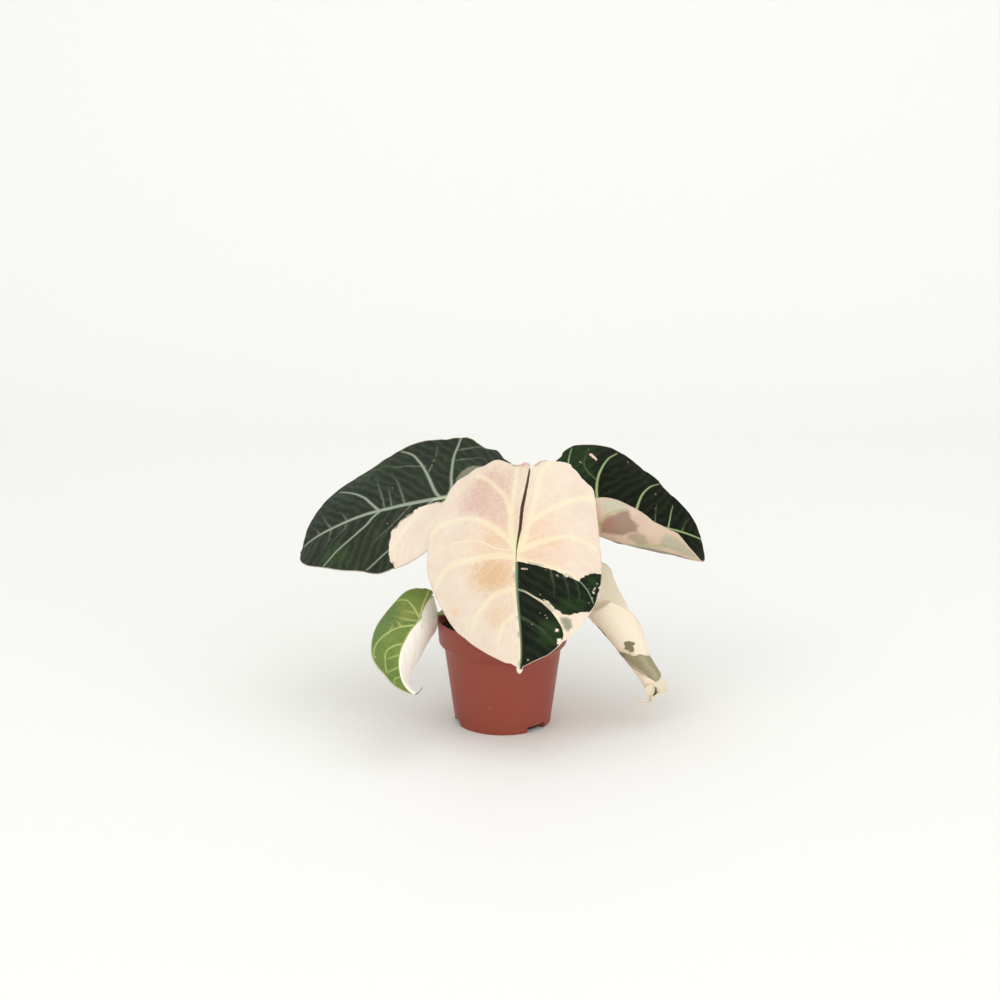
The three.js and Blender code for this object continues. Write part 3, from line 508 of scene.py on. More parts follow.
            (0.65, 0.25, [(0.4, 0.2), (4.6, -4), (9.5, -8.4), (13.8, -11.5), (17.8, -12), (21.5, -11)]),
            (0.65, 0.2, [(0, 7.8), (4.9, 10.4), (9.5, 13.7), (12.3, 17), (14.8, 21), (17.3, 26.5),
                         (18.7, 31), (19.2, 35), (18.6, 39)]),
            (0.45, 0.2, [(1, 24.5), (2.5, 25.2), (5.9, 27.3), (8.6, 30), (10.8, 33.3), (11.3, 37.4),
                         (11, 42), (11, 47)]),
            (0.3, 0.15, [(1.2, 33), (6.2, 36.4), (9.5, 38.7)]),
            (0.3, 0.15, [(1, 42.5), (5.6, 45), (10, 47.5)]),
            (0.3, 0.15, [(1.2, 49.6), (6.5, 51.7), (9.3, 55)]),
            (0.5, 0.2, [(-1, 2), (-8, -4), (-16, -9), (-22, -10)]),
            (0.5, 0.2, [(-0.5, 10), (-8, 14), (-16, 21), (-21, 30)]),
            (0.4, 0.2, [(1, 28), (-6, 33), (-12, 41), (-14, 48)]),
        ],
        "minor": [
            [(0.5, -1), (3, -2), (8, -2), (12, -2), (13.6, 1)],
            [(0, 4), (6, 5.3), (11, 5.3), (15, 4.7), (20, 4.6)],
            [(8.5, 12), (11.4, 9.6), (15.3, 8)],
            [(14, 20), (13.5, 14.3), (16.8, 10.3)],
        ],
        "patches": [
            ("dark", [(-1.6, -1), (-0.3, -4), (0.2, -8), (0.6, -13), (0.1, -18), (-1.3, -22.4),
                      (-3, -28), (32, -28), (32, 72), (4, 72), (2.8, 63), (1.9, 58), (1.2, 52),
                      (0.7, 45.7), (1.1, 39.5), (1.4, 33), (1.4, 26.7), (0.9, 19.7), (0.5, 12.5),
                      (-0.7, 6.5), (-1.6, 2)]),
        ],
        "palette": {"pale": "fef7e8", "blush": "faefdc", "paleVein": "f4eedb", "dark": "5b7539",
                    "bright": "84944a", "darkVein": "bcc67c", "grey": "8c9080",
                    "underPale": "e9dfcc", "underBlush": "ddd0b8", "underDark": "8f9a63",
                    "underVein": "b9bf7c", "edge": "e6d6c2"},
    },
}


def through(leaf, values, v):
    # one smooth curve through the values at the leaf's stations
    back, length = leaf["back"], leaf["length"]
    knots = [-back, 0, length / 2, 0.78 * length, length] if len(values) == 5 \
        else [-back, 0, length / 2, length]
    v = np.clip(v, -back, length)
    total = 0
    for i, value in enumerate(values):
        share = value
        for j, knot in enumerate(knots):
            if j != i:
                share = share * (v - knot) / (knots[i] - knot)
        total = total + share
    return total


def attitude(leaf, v):
    curl, turn = leaf["drip"][2:]
    beyond = max(0, v - leaf["length"])
    turned = Euler([math.radians(leaf[k]) for k in ("roll", "pitch", "yaw")]).to_matrix()
    own = Euler((math.radians(through(leaf, leaf["twist"], v)),
                 math.radians(through(leaf, leaf["bend"], v) + curl * beyond),
                 math.radians(through(leaf, leaf["sweep"], v) + turn * beyond))).to_matrix()
    return turned @ own


def midribPath(leaf):
    # rows of v, place, left and up, every half millimetre from the lobes to the tip
    step = 0.5
    rows = []
    for way in (-1, 1):
        place, v = Vector(leaf["joint"]), 0.0
        reach = leaf["back"] + 8 if way < 0 else leaf["length"] + leaf["drip"][0] + 8
        while abs(v) < reach:
            turned = attitude(leaf, v)
            rows.append((v, *place, *turned.col[1], *turned.col[2]))
            place = place + attitude(leaf, v + way * step / 2).col[0] * way * step
            v += way * step
    rows = sorted(set(rows))
    return np.array(rows)


def outerEdge(leaf, v):
    length, back, half, widest, lobe = (leaf[k] for k in ("length", "back", "half", "widest", "lobe"))
    dripLength, dripWidth = leaf["drip"][:2]
    beyond = min(max((v - length) / dripLength, 0), 1)
    tip = dripWidth / 2 * math.sqrt(1 - beyond ** 2) if v > 0.8 * length else 0
    if v >= widest:
        front = min((v - widest) / (length - widest), 1)
        return max(half * (1 - front ** leaf["tipPower"]) ** (1 / leaf["flankPower"]), tip)
    behind = min((widest - v) / (widest + back), 1)
    return lobe + (half - lobe) * (1 - behind ** leaf["lobePower"]) ** (1 / leaf["lobeRound"])


def innerEdge(leaf, side, v):
    # the slit between the lobes follows its own seam, and opens at the very back
    if v >= 0:
        return 0
    t = -v / leaf["back"]
    start, corner = leaf["slitEnd"]
    opening = min(max((t - start) / (1 - start), 0), 1)
    seam = float(np.interp(v, *zip(*leaf["seam"]))) if "seam" in leaf else 0
    return side * seam + leaf["slit"] * min(t / 0.1, 1) + (corner - leaf["slit"]) * (
        1 - math.sqrt(1 - opening ** 2))


def bladeSurface(leaf, path, side, x, v):
    # side, x and v are arrays; the answer is one row of metres for each
    frameAt = [np.interp(v, path[:, 0], path[:, i]) for i in range(1, 10)]
    place, left, up = (np.stack(frameAt[i:i + 3], 1) for i in (0, 3, 6))
    fold = np.radians(np.where(side > 0, through(leaf, leaf["rightFold"], v),
                               through(leaf, leaf["leftFold"], v)))
    curl = np.radians(np.where(side > 0, through(leaf, leaf["rightCurl"], v),
                               through(leaf, leaf["leftCurl"], v))) / leaf["half"]
    curl = np.where(np.abs(curl) < 1e-6, 1e-6, curl)
    out = (np.sin(fold + curl * x) - np.sin(fold)) / curl
    lift = (np.cos(fold) - np.cos(fold + curl * x)) / curl
    points = place - left * (side * out)[:, None] + up * lift[:, None]
    for (nx, nv), reach, push in leaf.get("nudges", ()):
        share = np.exp(-((side * x - nx) ** 2 + (v - nv) ** 2) / reach ** 2)
        points = points + share[:, None] * np.array(push)
    return points * mm


def rimCorrection(leaf, side, x, v):
    # small wanderings of the margin, given as mm outwards at angles round the blade's middle
    angles, amounts = zip(*leaf["rim"][side])
    middle = 10
    angle = np.degrees(np.arctan2(v - middle, x))
    radius = np.hypot(x, v - middle)
    vs = np.linspace(-leaf["back"], leaf["length"], 400)
    xs = np.array([outerEdge(leaf, w) for w in vs])
    edgeAngle = np.degrees(np.arctan2(vs - middle, xs))
    edge = np.interp(angle, np.maximum.accumulate(edgeAngle), np.hypot(xs, vs - middle))
    amount = np.interp(angle, angles, amounts)
    grown = radius + amount * np.clip(radius / edge, 0, 1.1) ** 3
    return (np.where(radius > 1, x * grown / np.maximum(radius, 1), x),
            np.where(radius > 1, middle + (v - middle) * grown / np.maximum(radius, 1), v))


def smoothLine(points, step):
    # a Catmull-Rom curve through the points, cut into even steps
    ends = [2 * Vector(points[0]) - Vector(points[1])] + [Vector(p) for p in points] \
        + [2 * Vector(points[-1]) - Vector(points[-2])]
    line = []
    for a, b, c, d in zip(ends, ends[1:], ends[2:], ends[3:]):
        count = max(1, round((c - b).length / step))
        for i in range(count):
            t = i / count
            line.append(0.5 * (2 * b + (c - a) * t + (2 * a - 5 * b + 4 * c - d) * t * t
                               + (3 * b - a - 3 * c + d) * t ** 3))
    return line + [Vector(points[-1])]


def sprayVeins(leaf, mains, gap, seed):
    # side veins leave each main vein and bend towards its end until they near another
    chance = random.Random(seed)
    lines = [smoothLine(points, 2.5) for points in mains]
    made = []
    for index, line in enumerate(lines):
        walked, due, side = 0, gap * 0.9, 1
        for a, b in zip(line, line[1:]):
            walked += (b - a).length
            if walked < due:
                continue
            due += gap * chance.uniform(0.4, 0.65)
            side = -side
            direction = (b - a).normalized()
            heading = math.atan2(direction.y, direction.x) + side * math.radians(chance.uniform(50, 72))
            bow = chance.uniform(2, 7)
            point, path = b.copy(), [tuple(b)]
            for step in range(9):
                heading -= side * math.radians(bow) + math.radians(chance.uniform(-5, 5))
                point = point + Vector((math.cos(heading), math.sin(heading))) * 2.2
                past = not -leaf["back"] < point.y < leaf["length"]
                if past or abs(point.x) > outerEdge(leaf, point.y) - 1:
                    break
                near = min((point - q).length for k, other in enumerate(lines) if k != index
                           for q in other)
                if near < 1.8:
                    break
                path.append(tuple(point))
            if len(path) > 2:
                made.append(path)
    return made


def segmentTable(veins):
    # rows of ax, ay, bx, by, half width at a and at b, strength, 1 for the last piece of a vein
    rows = []
    for startWidth, endWidth, points, strength in veins:
        line = smoothLine(points, 2.0)
        last = len(line) - 1
        for i, (a, b) in enumerate(zip(line, line[1:])):
            rows.append((a.x, a.y, b.x, b.y, startWidth + (endWidth - startWidth) * i / last,
                         startWidth + (endWidth - startWidth) * (i + 1) / last, strength, i == last - 1))
    return np.array(rows)


def nearestVein(table, px, pv):
    # for every point: distance to the closest segment, less a share of its width, and which one
    best = np.full(len(px), 1e9)
    which = np.zeros(len(px), int)
    for i, (ax, ay, bx, by, wa, wb) in enumerate(table[:, :6]):
        dx, dy = bx - ax, by - ay
        t = np.clip(((px - ax) * dx + (pv - ay) * dy) / (dx * dx + dy * dy), 0, 1)
        away = np.hypot(px - ax - t * dx, pv - ay - t * dy) - 0.9 * (wa + (wb - wa) * t)
        closer = away < best
        best[closer] = away[closer]
        which[closer] = i
    return best, which


def patchDistance(points, px, pv):
    # mm inside a patch, minus outside it; four numbers are a fleck: x, v, radius, stretch along v
    if not isinstance(points[0], tuple):
        x, v, radius, stretch = points
        return radius - np.hypot(px - x, (pv - v) / stretch)
    outline = np.array(points, float)
    away = np.full(len(px), 1e9)
    inside = np.zeros(len(px), bool)
    for (ax, ay), (bx, by) in zip(outline, np.roll(outline, -1, 0)):
        dx, dy = bx - ax, by - ay
        t = np.clip(((px - ax) * dx + (pv - ay) * dy) / (dx * dx + dy * dy), 0, 1)
        away = np.minimum(away, np.hypot(px - ax - t * dx, pv - ay - t * dy))
        crosses = (ay > pv) != (by > pv)
        with np.errstate(divide="ignore", invalid="ignore"):
            inside ^= crosses & (px < (bx - ax) * (pv - ay) / (by - ay) + ax)
    return np.where(inside, away, -away)


def patchField(leaf, px, pv):
    field = np.full(len(px), 30.0 if leaf["base"] == "dark" else -30.0)
    for kind, points in leaf["patches"]:
        shape = patchDistance(points, px, pv)
        field = np.maximum(field, shape) if kind == "dark" else np.minimum(field, -shape)
    return field


def buildBlade(name, leaf, topMaterial, underMaterial, seed):
    mains = [(*leaf["midrib"], 2)] + [(*vein, 1) for vein in leaf["veins"]]
    spray = sprayVeins(leaf, [leaf["midrib"][2]] + [v[2] for v in leaf["veins"]], leaf["sprayGap"], seed)
    mainTable = segmentTable(mains)
    minorTable = segmentTable([(0.3, 0.14, points, 1) for points in leaf["minor"]]
                              + [(0.12, 0.06, points, 0.3) for points in spray])
    rows = leaf["lobeRows"] + leaf["bladeRows"] + leaf["tipRows"]
    path = midribPath(leaf)
    rowPlaces = []
    for i in range(rows + 1):
        if i < leaf["lobeRows"]:
            rowPlaces.append(-leaf["back"] * math.cos(math.pi / 2 * i / leaf["lobeRows"]))
        elif i < leaf["lobeRows"] + leaf["bladeRows"]:
            share = (i - leaf["lobeRows"]) / leaf["bladeRows"]
            rowPlaces.append(leaf["length"] * math.sin(math.pi / 2 * share))
        else:
            rowPlaces.append(leaf["length"] + leaf["drip"][0] * (i - leaf["lobeRows"] - leaf["bladeRows"])
                             / leaf["tipRows"])

    bm = bmesh.new()
    acrossLayer = bm.verts.layers.float.new("across")
    alongLayer = bm.verts.layers.float.new("along")
    marginLayer = bm.verts.layers.float.new("margin")
    bodyLayer = bm.verts.layers.deform.verify()
    for side in (1, -1):
        sheet = bmesh.ops.create_grid(bm, x_segments=leaf["columns"], y_segments=rows, size=1)["verts"]
        t = np.array([(vert.co.x + 1) / 2 for vert in sheet])
        row = np.array([round((vert.co.y + 1) / 2 * rows) for vert in sheet])
        inner = np.array([innerEdge(leaf, side, v) for v in rowPlaces])[row]
        outer = np.array([outerEdge(leaf, v) for v in rowPlaces])[row]
        v = np.array(rowPlaces)[row]
        x = inner + np.maximum(outer - inner, 0) * t * (0.5 + 0.5 * t)
        margin = np.minimum(outer - x, np.where(v < 0, x - inner, 99))
        x, v = rimCorrection(leaf, side, x, v)
        points = bladeSurface(leaf, path, np.full(len(x), side), x, v)
        for i, vert in enumerate(sheet):
            vert.co = points[i]
            vert[acrossLayer], vert[alongLayer], vert[marginLayer] = side * x[i], v[i], margin[i]
        if side > 0:
            bmesh.ops.reverse_faces(bm, faces=list({f for w in sheet for f in w.link_faces}))
    bmesh.ops.remove_doubles(bm, verts=bm.verts, dist=2e-6)
    bmesh.ops.dissolve_degenerate(bm, edges=bm.edges, dist=1e-6)
    bm.normal_update()
    up = path[np.abs(path[:, 0] - leaf["length"] / 3).argmin(), 7:10]
    if sum(f.normal.dot(Vector(up)) for f in bm.faces) < 0:
        bmesh.ops.reverse_faces(bm, faces=bm.faces)
        bm.normal_update()

    px = np.array([v[acrossLayer] for v in bm.verts])
    pv = np.array([v[alongLayer] for v in bm.verts])
    mainAway, mainWhich = nearestVein(mainTable, px, pv)
    minorAway, minorWhich = nearestVein(minorTable, px, pv)

    # relief: tissue swells between the side veins and sinks along the main ones
    mainWidth = mainTable[mainWhich, 4]
    weight = np.where(minorTable[minorWhich, 6] > 0.5, 1, 0.4)
    swell = leaf["quilt"] * (1 - weight * np.exp(-(np.maximum(minorAway, 0) / 2.2) ** 2)) \
        * (1 - np.exp(-(np.maximum(mainAway, 0) / 2.6) ** 2))
    sink = 0.35 * np.minimum(mainWidth, 1.2) * np.exp(-(np.maximum(mainAway + 0.6, 0) / 1.1) ** 2)
    wave = np.array([noise.noise(Vector((x / 14, v / 14, seed))) + 0.5 * noise.noise(
        Vector((x / 6, v / 6, seed + 9))) for x, v in zip(px, pv)]) * leaf["wave"]
    relief = (swell - sink + wave * np.clip(np.abs(px) / 12, 0, 1)) * mm
    ribs = 0.36 + 0.64 * np.where(mainTable[mainWhich, 6] > 1.5, 1, 0.45) * np.exp(
        -(np.maximum(mainAway + 0.5, 0) / 0.9) ** 2) * np.clip(mainWidth / 1.4, 0, 1)
    normals = [v.normal.copy() for v in bm.verts]
    for i, vert in enumerate(bm.verts):
        vert.co += normals[i] * relief[i]
        vert[bodyLayer][0] = float(ribs[i])
    piece = finishPiece("leafBlade_" + name, bm, [topMaterial, underMaterial])
    mesh = piece.data

    fields = {"dark": patchField(leaf, px, pv)}
    for i, stain in enumerate(leaf["stains"]):
        fields["stain" + str(i)] = np.max([patchDistance(p, px, pv) for p in stain[4]], axis=0)
    for key, values in fields.items():
        mesh.attributes.new(key, "FLOAT", "POINT").data.foreach_set("value", values.astype(np.float32))

    # every face keeps its distance to one vein only, so that a line stays sharp between vertices
    corner = np.zeros(len(mesh.loops), int)
    mesh.loops.foreach_get("vertex_index", corner)
    count = np.zeros(len(mesh.polygons), int)
    mesh.polygons.foreach_get("loop_total", count)
    faceOf = np.repeat(np.arange(len(count)), count)
    cx, cv = px[corner], pv[corner]
    fx = np.bincount(faceOf, cx) / count
    fv = np.bincount(faceOf, cv) / count
    for key, table in (("veinMap", mainTable), ("minorMap", minorTable)):
        which = nearestVein(table, fx, fv)[1][faceOf]
        ax, ay, bx, by, wa, wb, _, ending = table[which].T
        span = np.hypot(bx - ax, by - ay)
        t = ((cx - ax) * (bx - ax) + (cv - ay) * (by - ay)) / span ** 2
        width = wa + (wb - wa) * np.clip(t, 0, 1) - 0.5 * ending * np.maximum(0, t - 1) * span
        side = ((cx - ax) * (by - ay) - (cv - ay) * (bx - ax)) / span
        mesh.uv_layers.new(name=key).uv.foreach_set(
            "vector", np.stack([side, width], 1).astype(np.float32).ravel())
    mesh.uv_layers.new(name="leafMap").uv.foreach_set(
        "vector", np.stack([cx / 100, cv / 100], 1).astype(np.float32).ravel())

    piece.vertex_groups.new(name="body")
    shell = piece.modifiers.new("thickness", "SOLIDIFY")
    shell.thickness = 1.5 * mm
    shell.offset = -1
    shell.vertex_group = "body"
    shell.material_offset = 1
    shell.material_offset_rim = 0
    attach(piece, "root")
    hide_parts("blade_" + name)
    print("blade", name, len(mesh.polygons), "faces")
    return path


def leafMaterial(name, leaf, under):
    # living leaf skin: matt and velvety from fine papillae, almost black where it is green, with
    # sunken pale veins; cream and blush where the tissue lacks green
    palette = leaf["palette"]
    material, tree = newMaterial(name)
    leafUv = addNode(tree, "ShaderNodeUVMap", {"uv_map": "leafMap"}).outputs["UV"]
    veinUv = addNode(tree, "ShaderNodeUVMap", {"uv_map": "veinMap"}).outputs["UV"]
    minorUv = addNode(tree, "ShaderNodeUVMap", {"uv_map": "minorMap"}).outputs["UV"]
    veinPair = addNode(tree, "ShaderNodeSeparateXYZ", links={0: veinUv})
    minorPair = addNode(tree, "ShaderNodeSeparateXYZ", links={0: minorUv})
    dark = addNode(tree, "ShaderNodeAttribute", {"attribute_name": "dark"}).outputs["Fac"]
    margin = addNode(tree, "ShaderNodeAttribute", {"attribute_name": "margin"}).outputs["Fac"]

    # patch edges broken by clumps of cells, 3 mm down to half a millimetre, calm along a vein
    clumps = addNode(tree, "ShaderNodeTexNoise", {"Scale": 100 / 3.2, "Detail": 4, "Roughness": 0.75},
                     {"Vector": leafUv})
    centred = addNode(tree, "ShaderNodeMath", {"operation": "SUBTRACT", 1: 0.5}, {0: clumps.outputs["Fac"]})
    away = addNode(tree, "ShaderNodeMath", {"operation": "ABSOLUTE"}, {0: veinPair.outputs["X"]})
    calm = addNode(tree, "ShaderNodeMapRange",
                   {"From Min": 0.6, "From Max": 2.6, "To Min": 0.3, "To Max": leaf["jag"] * 4.5},
                   {"Value": away.outputs[0]})
    broken = addNode(tree, "ShaderNodeMath", {"operation": "MULTIPLY_ADD"},
                     {0: centred.outputs[0], 1: calm.outputs[0], 2: dark})
    darkMask = addNode(tree, "ShaderNodeMapRange",
                       {"interpolation_type": "SMOOTHSTEP", "From Min": -0.14, "From Max": 0.14},
                       {"Value": broken.outputs[0]})
    fringe = addNode(tree, "ShaderNodeMapRange",
                     {"interpolation_type": "SMOOTHSTEP", "From Min": -1.7, "From Max": -1.2},
                     {"Value": broken.outputs[0]})
    places = addNode(tree, "ShaderNodeTexNoise", {"Scale": 100 / 12, "Detail": 1}, {"Vector": leafUv})
    fringeWhere = addNode(tree, "ShaderNodeMapRange",
                          {"From Min": 0.52, "From Max": 0.6, "To Max": leaf["fringe"]},
                          {"Value": places.outputs["Fac"]})
    fringeMask = addNode(tree, "ShaderNodeMath", {"operation": "MULTIPLY"},
                         {0: fringe.outputs[0], 1: fringeWhere.outputs[0]})

    # a main vein is a core with a soft halo; a side vein is thinner, and fainter as it thins
    past = addNode(tree, "ShaderNodeMath", {"operation": "SUBTRACT"},
                   {0: away.outputs[0], 1: veinPair.outputs["Y"]})
    wander = addNode(tree, "ShaderNodeMath", {"operation": "MULTIPLY_ADD", 1: 1.5},
                     {0: centred.outputs[0], 2: past.outputs[0]})
    minorAway = addNode(tree, "ShaderNodeMath", {"operation": "ABSOLUTE"}, {0: minorPair.outputs["X"]})
    minorPast = addNode(tree, "ShaderNodeMath", {"operation": "SUBTRACT"},
                        {0: minorAway.outputs[0], 1: minorPair.outputs["Y"]})
    minorLine = addNode(tree, "ShaderNodeMapRange",
                        {"interpolation_type": "SMOOTHSTEP", "From Min": 0.35, "From Max": -0.1},
                        {"Value": minorPast.outputs[0]})
    minorGlow = addNode(tree, "ShaderNodeMapRange",
                        {"interpolation_type": "SMOOTHERSTEP", "From Min": 1.7, "From Max": -0.1},
                        {"Value": minorPast.outputs[0]})
    minor, glow = {}, {}
    for kind, low in (("pale", 0.0), ("dark", 0.1)):
        share = addNode(tree, "ShaderNodeMapRange", {"From Min": low, "From Max": low + 0.18},
                        {"Value": minorPair.outputs["Y"]})
        minor[kind] = addNode(tree, "ShaderNodeMath", {"operation": "MULTIPLY"},
                              {0: minorLine.outputs[0], 1: share.outputs[0]})
        glow[kind] = addNode(tree, "ShaderNodeMath", {"operation": "MULTIPLY"},
                             {0: minorGlow.outputs[0], 1: share.outputs[0]})

    # soft swellings that run from the midrib outwards and on towards the tip, 8 mm apart; the same wave
    # drives a bump, and a painted highlight of vein colour lightens its crests on the dark tissue
    leafPair = addNode(tree, "ShaderNodeSeparateXYZ", links={0: leafUv})
    sideways = addNode(tree, "ShaderNodeMath", {"operation": "ABSOLUTE"}, {0: leafPair.outputs["X"]})
    chevron = addNode(tree, "ShaderNodeMath", {"operation": "MULTIPLY_ADD", 1: -0.75},
                      {0: sideways.outputs[0], 2: leafPair.outputs["Y"]})
    turns = addNode(tree, "ShaderNodeMath", {"operation": "MULTIPLY", 1: 100 * 2 * math.pi / 8},
                    {0: chevron.outputs[0]})
    bentTurns = addNode(tree, "ShaderNodeMath", {"operation": "MULTIPLY_ADD", 1: 7},
                        {0: places.outputs["Fac"], 2: turns.outputs[0]})
    wave = addNode(tree, "ShaderNodeMath", {"operation": "SINE"}, {0: bentTurns.outputs[0]})
    ridgeSheenLine = addNode(tree, "ShaderNodeMapRange",
                        {"interpolation_type": "SMOOTHSTEP", "From Min": -0.6, "From Max": 1},
                        {"Value": wave.outputs[0]})
    ridgeClear = addNode(tree, "ShaderNodeMapRange", {"From Min": 0.8, "From Max": 4},
                         {"Value": away.outputs[0]})
    ridge = addNode(tree, "ShaderNodeMath", {"operation": "MULTIPLY"},
                    {0: ridgeSheenLine.outputs[0], 1: ridgeClear.outputs[0]})

    # the finest net of veins, 2 mm meshes, drawn a little coarser than life so that it shows
    bent = addNode(tree, "ShaderNodeVectorMath", {"operation": "MULTIPLY_ADD", 1: (0.02, 0.02, 0.02)},
                   {0: places.outputs["Color"], 2: leafUv})
    net = addNode(tree, "ShaderNodeTexVoronoi", {"feature": "DISTANCE_TO_EDGE", "Scale": 100 / 2.4},
                  {"Vector": bent.outputs[0]})
    netLine = addNode(tree, "ShaderNodeMapRange", {"From Min": 0.12, "From Max": 0.0},
                      {"Value": net.outputs["Distance"]})

    def stained(colour, layer):
        # soft patches of another colour, such as blush, bruises and greener clouds; on the front leaf also a
        # painted shadow band and painted shade along the slit between the lobes
        for i, (where, tint, soft, strength, _) in enumerate(leaf["stains"]):
            if where == layer:
                field = addNode(tree, "ShaderNodeAttribute", {"attribute_name": "stain" + str(i)})
                loose = addNode(tree, "ShaderNodeMath", {"operation": "MULTIPLY_ADD", 1: soft * 1.5},
                                {0: centred.outputs[0], 2: field.outputs["Fac"]})
                share = addNode(tree, "ShaderNodeMapRange",
                                {"interpolation_type": "SMOOTHSTEP", "From Min": -soft / 2,
                                 "From Max": soft / 2, "To Max": strength}, {"Value": loose.outputs[0]})
                mix = addNode(tree, "ShaderNodeMix", {"data_type": "RGBA", 7: linearColour(tint)},
                              {0: share.outputs[0], 6: colour})
                colour = mix.outputs[2]
        return colour

    tissue = {}
    tones = {"pale": ("pale", "blush", "paleVein"), "dark": ("dark", "bright", "darkVein")}
    if under:
        tones = {"pale": ("underPale", "underBlush", "underVein"), "dark": ("underDark", "grey", "underVein")}
    for kind, keys in tones.items():
        ground, second, veinColour = (linearColour(palette[key]) for key in keys)
        blotch = addNode(tree, "ShaderNodeTexNoise",
                         {"Scale": 100 / (14 if kind == "pale" else 22), "Detail": 3, "Roughness": 0.6},
                         {"Vector": leafUv})
        cloud = addNode(tree, "ShaderNodeMapRange", {"From Min": 0.4, "From Max": 0.7, "To Max": 0.6},
                        {"Value": blotch.outputs["Fac"]})
        base = addNode(tree, "ShaderNodeMix", {"data_type": "RGBA", 6: ground, 7: second},
                       {0: cloud.outputs[0]})
        base = stained(base.outputs[2], ("under" + kind.title()) if under else kind)
        reach, haloShare, coreShare, minorPart, netPart = leaf[kind + "Veins"]
        halo = addNode(tree, "ShaderNodeMapRange",
                       {"interpolation_type": "SMOOTHERSTEP", "From Min": reach, "From Max": -0.4,
                        "To Max": haloShare}, {"Value": wander.outputs[0]})
        core = addNode(tree, "ShaderNodeMapRange",
                       {"interpolation_type": "SMOOTHSTEP", "From Min": 0.9 if kind == "pale" else 0.3,
                        "From Max": -0.3, "To Max": coreShare}, {"Value": past.outputs[0]})
        lines = addNode(tree, "ShaderNodeMath", {"operation": "MAXIMUM"},
                        {0: halo.outputs[0], 1: core.outputs[0]})
        # the ridge share is a painted highlight on the swelling crests, on the dark tissue only
        for part, share in ((minor[kind].outputs[0], minorPart), (netLine.outputs[0], netPart),
                            (glow[kind].outputs[0], leaf["minorGlow"]),
                            (ridge.outputs[0], leaf["ridge"] if kind == "dark" else 0)):
            scaled = addNode(tree, "ShaderNodeMath", {"operation": "MULTIPLY", 1: share}, {0: part})
            lines = addNode(tree, "ShaderNodeMath", {"operation": "MAXIMUM"},
                            {0: scaled.outputs[0], 1: lines.outputs[0]})
        veined = addNode(tree, "ShaderNodeMix", {"data_type": "RGBA", 7: veinColour},
                         {0: lines.outputs[0], 6: base})
        tissue[kind] = veined.outputs[2]

    # rare pale specks, half a millimetre, in loose groups on the dark skin
    dots = addNode(tree, "ShaderNodeTexVoronoi", {"Scale": 100 / 2.2}, {"Vector": leafUv})
    dotPick = addNode(tree, "ShaderNodeSeparateColor", links={0: dots.outputs["Color"]})
    dotSize = addNode(tree, "ShaderNodeMath", {"operation": "LESS_THAN", 1: 0.13},
                      {0: dots.outputs["Distance"]})
    dotRare = addNode(tree, "ShaderNodeMath", {"operation": "GREATER_THAN", 1: 0.85},
                      {0: dotPick.outputs[0]})
    dotWhere = addNode(tree, "ShaderNodeMath", {"operation": "GREATER_THAN", 1: 0.62},
                       {0: places.outputs["Fac"]})
    dotBoth = addNode(tree, "ShaderNodeMath", {"operation": "MULTIPLY"},
                      {0: dotSize.outputs[0], 1: dotRare.outputs[0]})
    dotAll = addNode(tree, "ShaderNodeMath", {"operation": "MULTIPLY"},
                     {0: dotBoth.outputs[0], 1: dotWhere.outputs[0]})
    dotted = addNode(tree, "ShaderNodeMix", {"data_type": "RGBA", 7: linearColour(palette["paleVein"])},
                     {0: dotAll.outputs[0], 6: tissue["dark"]})

    fringed = addNode(tree, "ShaderNodeMix", {"data_type": "RGBA", 7: linearColour(palette["grey"])},
                      {0: fringeMask.outputs[0], 6: tissue["pale"]})
    skin = addNode(tree, "ShaderNodeMix", {"data_type": "RGBA"},
                   {0: darkMask.outputs[0], 6: fringed.outputs[2], 7: dotted.outputs[2]})
    skin = stained(skin.outputs[2], "underAll" if under else "all")
    rimLine = addNode(tree, "ShaderNodeMapRange",
                      {"From Min": 0.8, "From Max": 0.15, "To Max": leaf["rimShare"]}, {"Value": margin})
    edged = addNode(tree, "ShaderNodeMix", {"data_type": "RGBA", 7: linearColour(palette["edge"])},
                    {0: rimLine.outputs[0], 6: skin})
    # the painted shade along the slit goes on last, over everything else
    finished = stained(edged.outputs[2], "last")

    nap = addNode(tree, "ShaderNodeTexNoise", {"Scale": 100 / 0.6, "Detail": 2}, {"Vector": leafUv})
    height = addNode(tree, "ShaderNodeMath", {"operation": "MULTIPLY_ADD", 1: 0.3},
                     {0: nap.outputs["Fac"], 2: netLine.outputs[0]})
    fine = addNode(tree, "ShaderNodeBump", {"invert": not under, "Strength": 0.35, "Distance": 0.1 * mm},
                   {"Height": height.outputs[0]})
    bump = addNode(tree, "ShaderNodeBump", {"Strength": 0.5, "Distance": leaf["ridge"] * 5 * mm},
                   {"Height": wave.outputs[0], "Normal": fine.outputs[0]})
    rough = addNode(tree, "ShaderNodeMapRange", {"To Min": 0.5, "To Max": 0.62},
                    {"Value": darkMask.outputs[0]})
    shader = addNode(tree, "ShaderNodeBsdfPrincipled",
                     {"IOR": 1.42, "Specular IOR Level": 0.3 if under else leaf["gloss"],
                      "Sheen Weight": 0.02, "Sheen Roughness": 0.4, "Subsurface Weight": 0.35,
                      "Subsurface Radius": (1, 0.8, 0.6), "Subsurface Scale": 2.5 * mm},
                     {"Base Color": finished, "Roughness": rough.outputs[0], "Normal": bump.outputs[0]})
    addNode(tree, "ShaderNodeOutputMaterial", links={"Surface": shader.outputs["BSDF"]})
    return material


midribs = {}
for index, (leafName, leaf) in enumerate(leaves.items()):
    midribs[leafName] = buildBlade(leafName, leaf, leafMaterial("leafSkin_" + leafName, leaf, False),
                                   leafMaterial("leafUnderside_" + leafName, leaf, True), index + 1)

# stems and crown

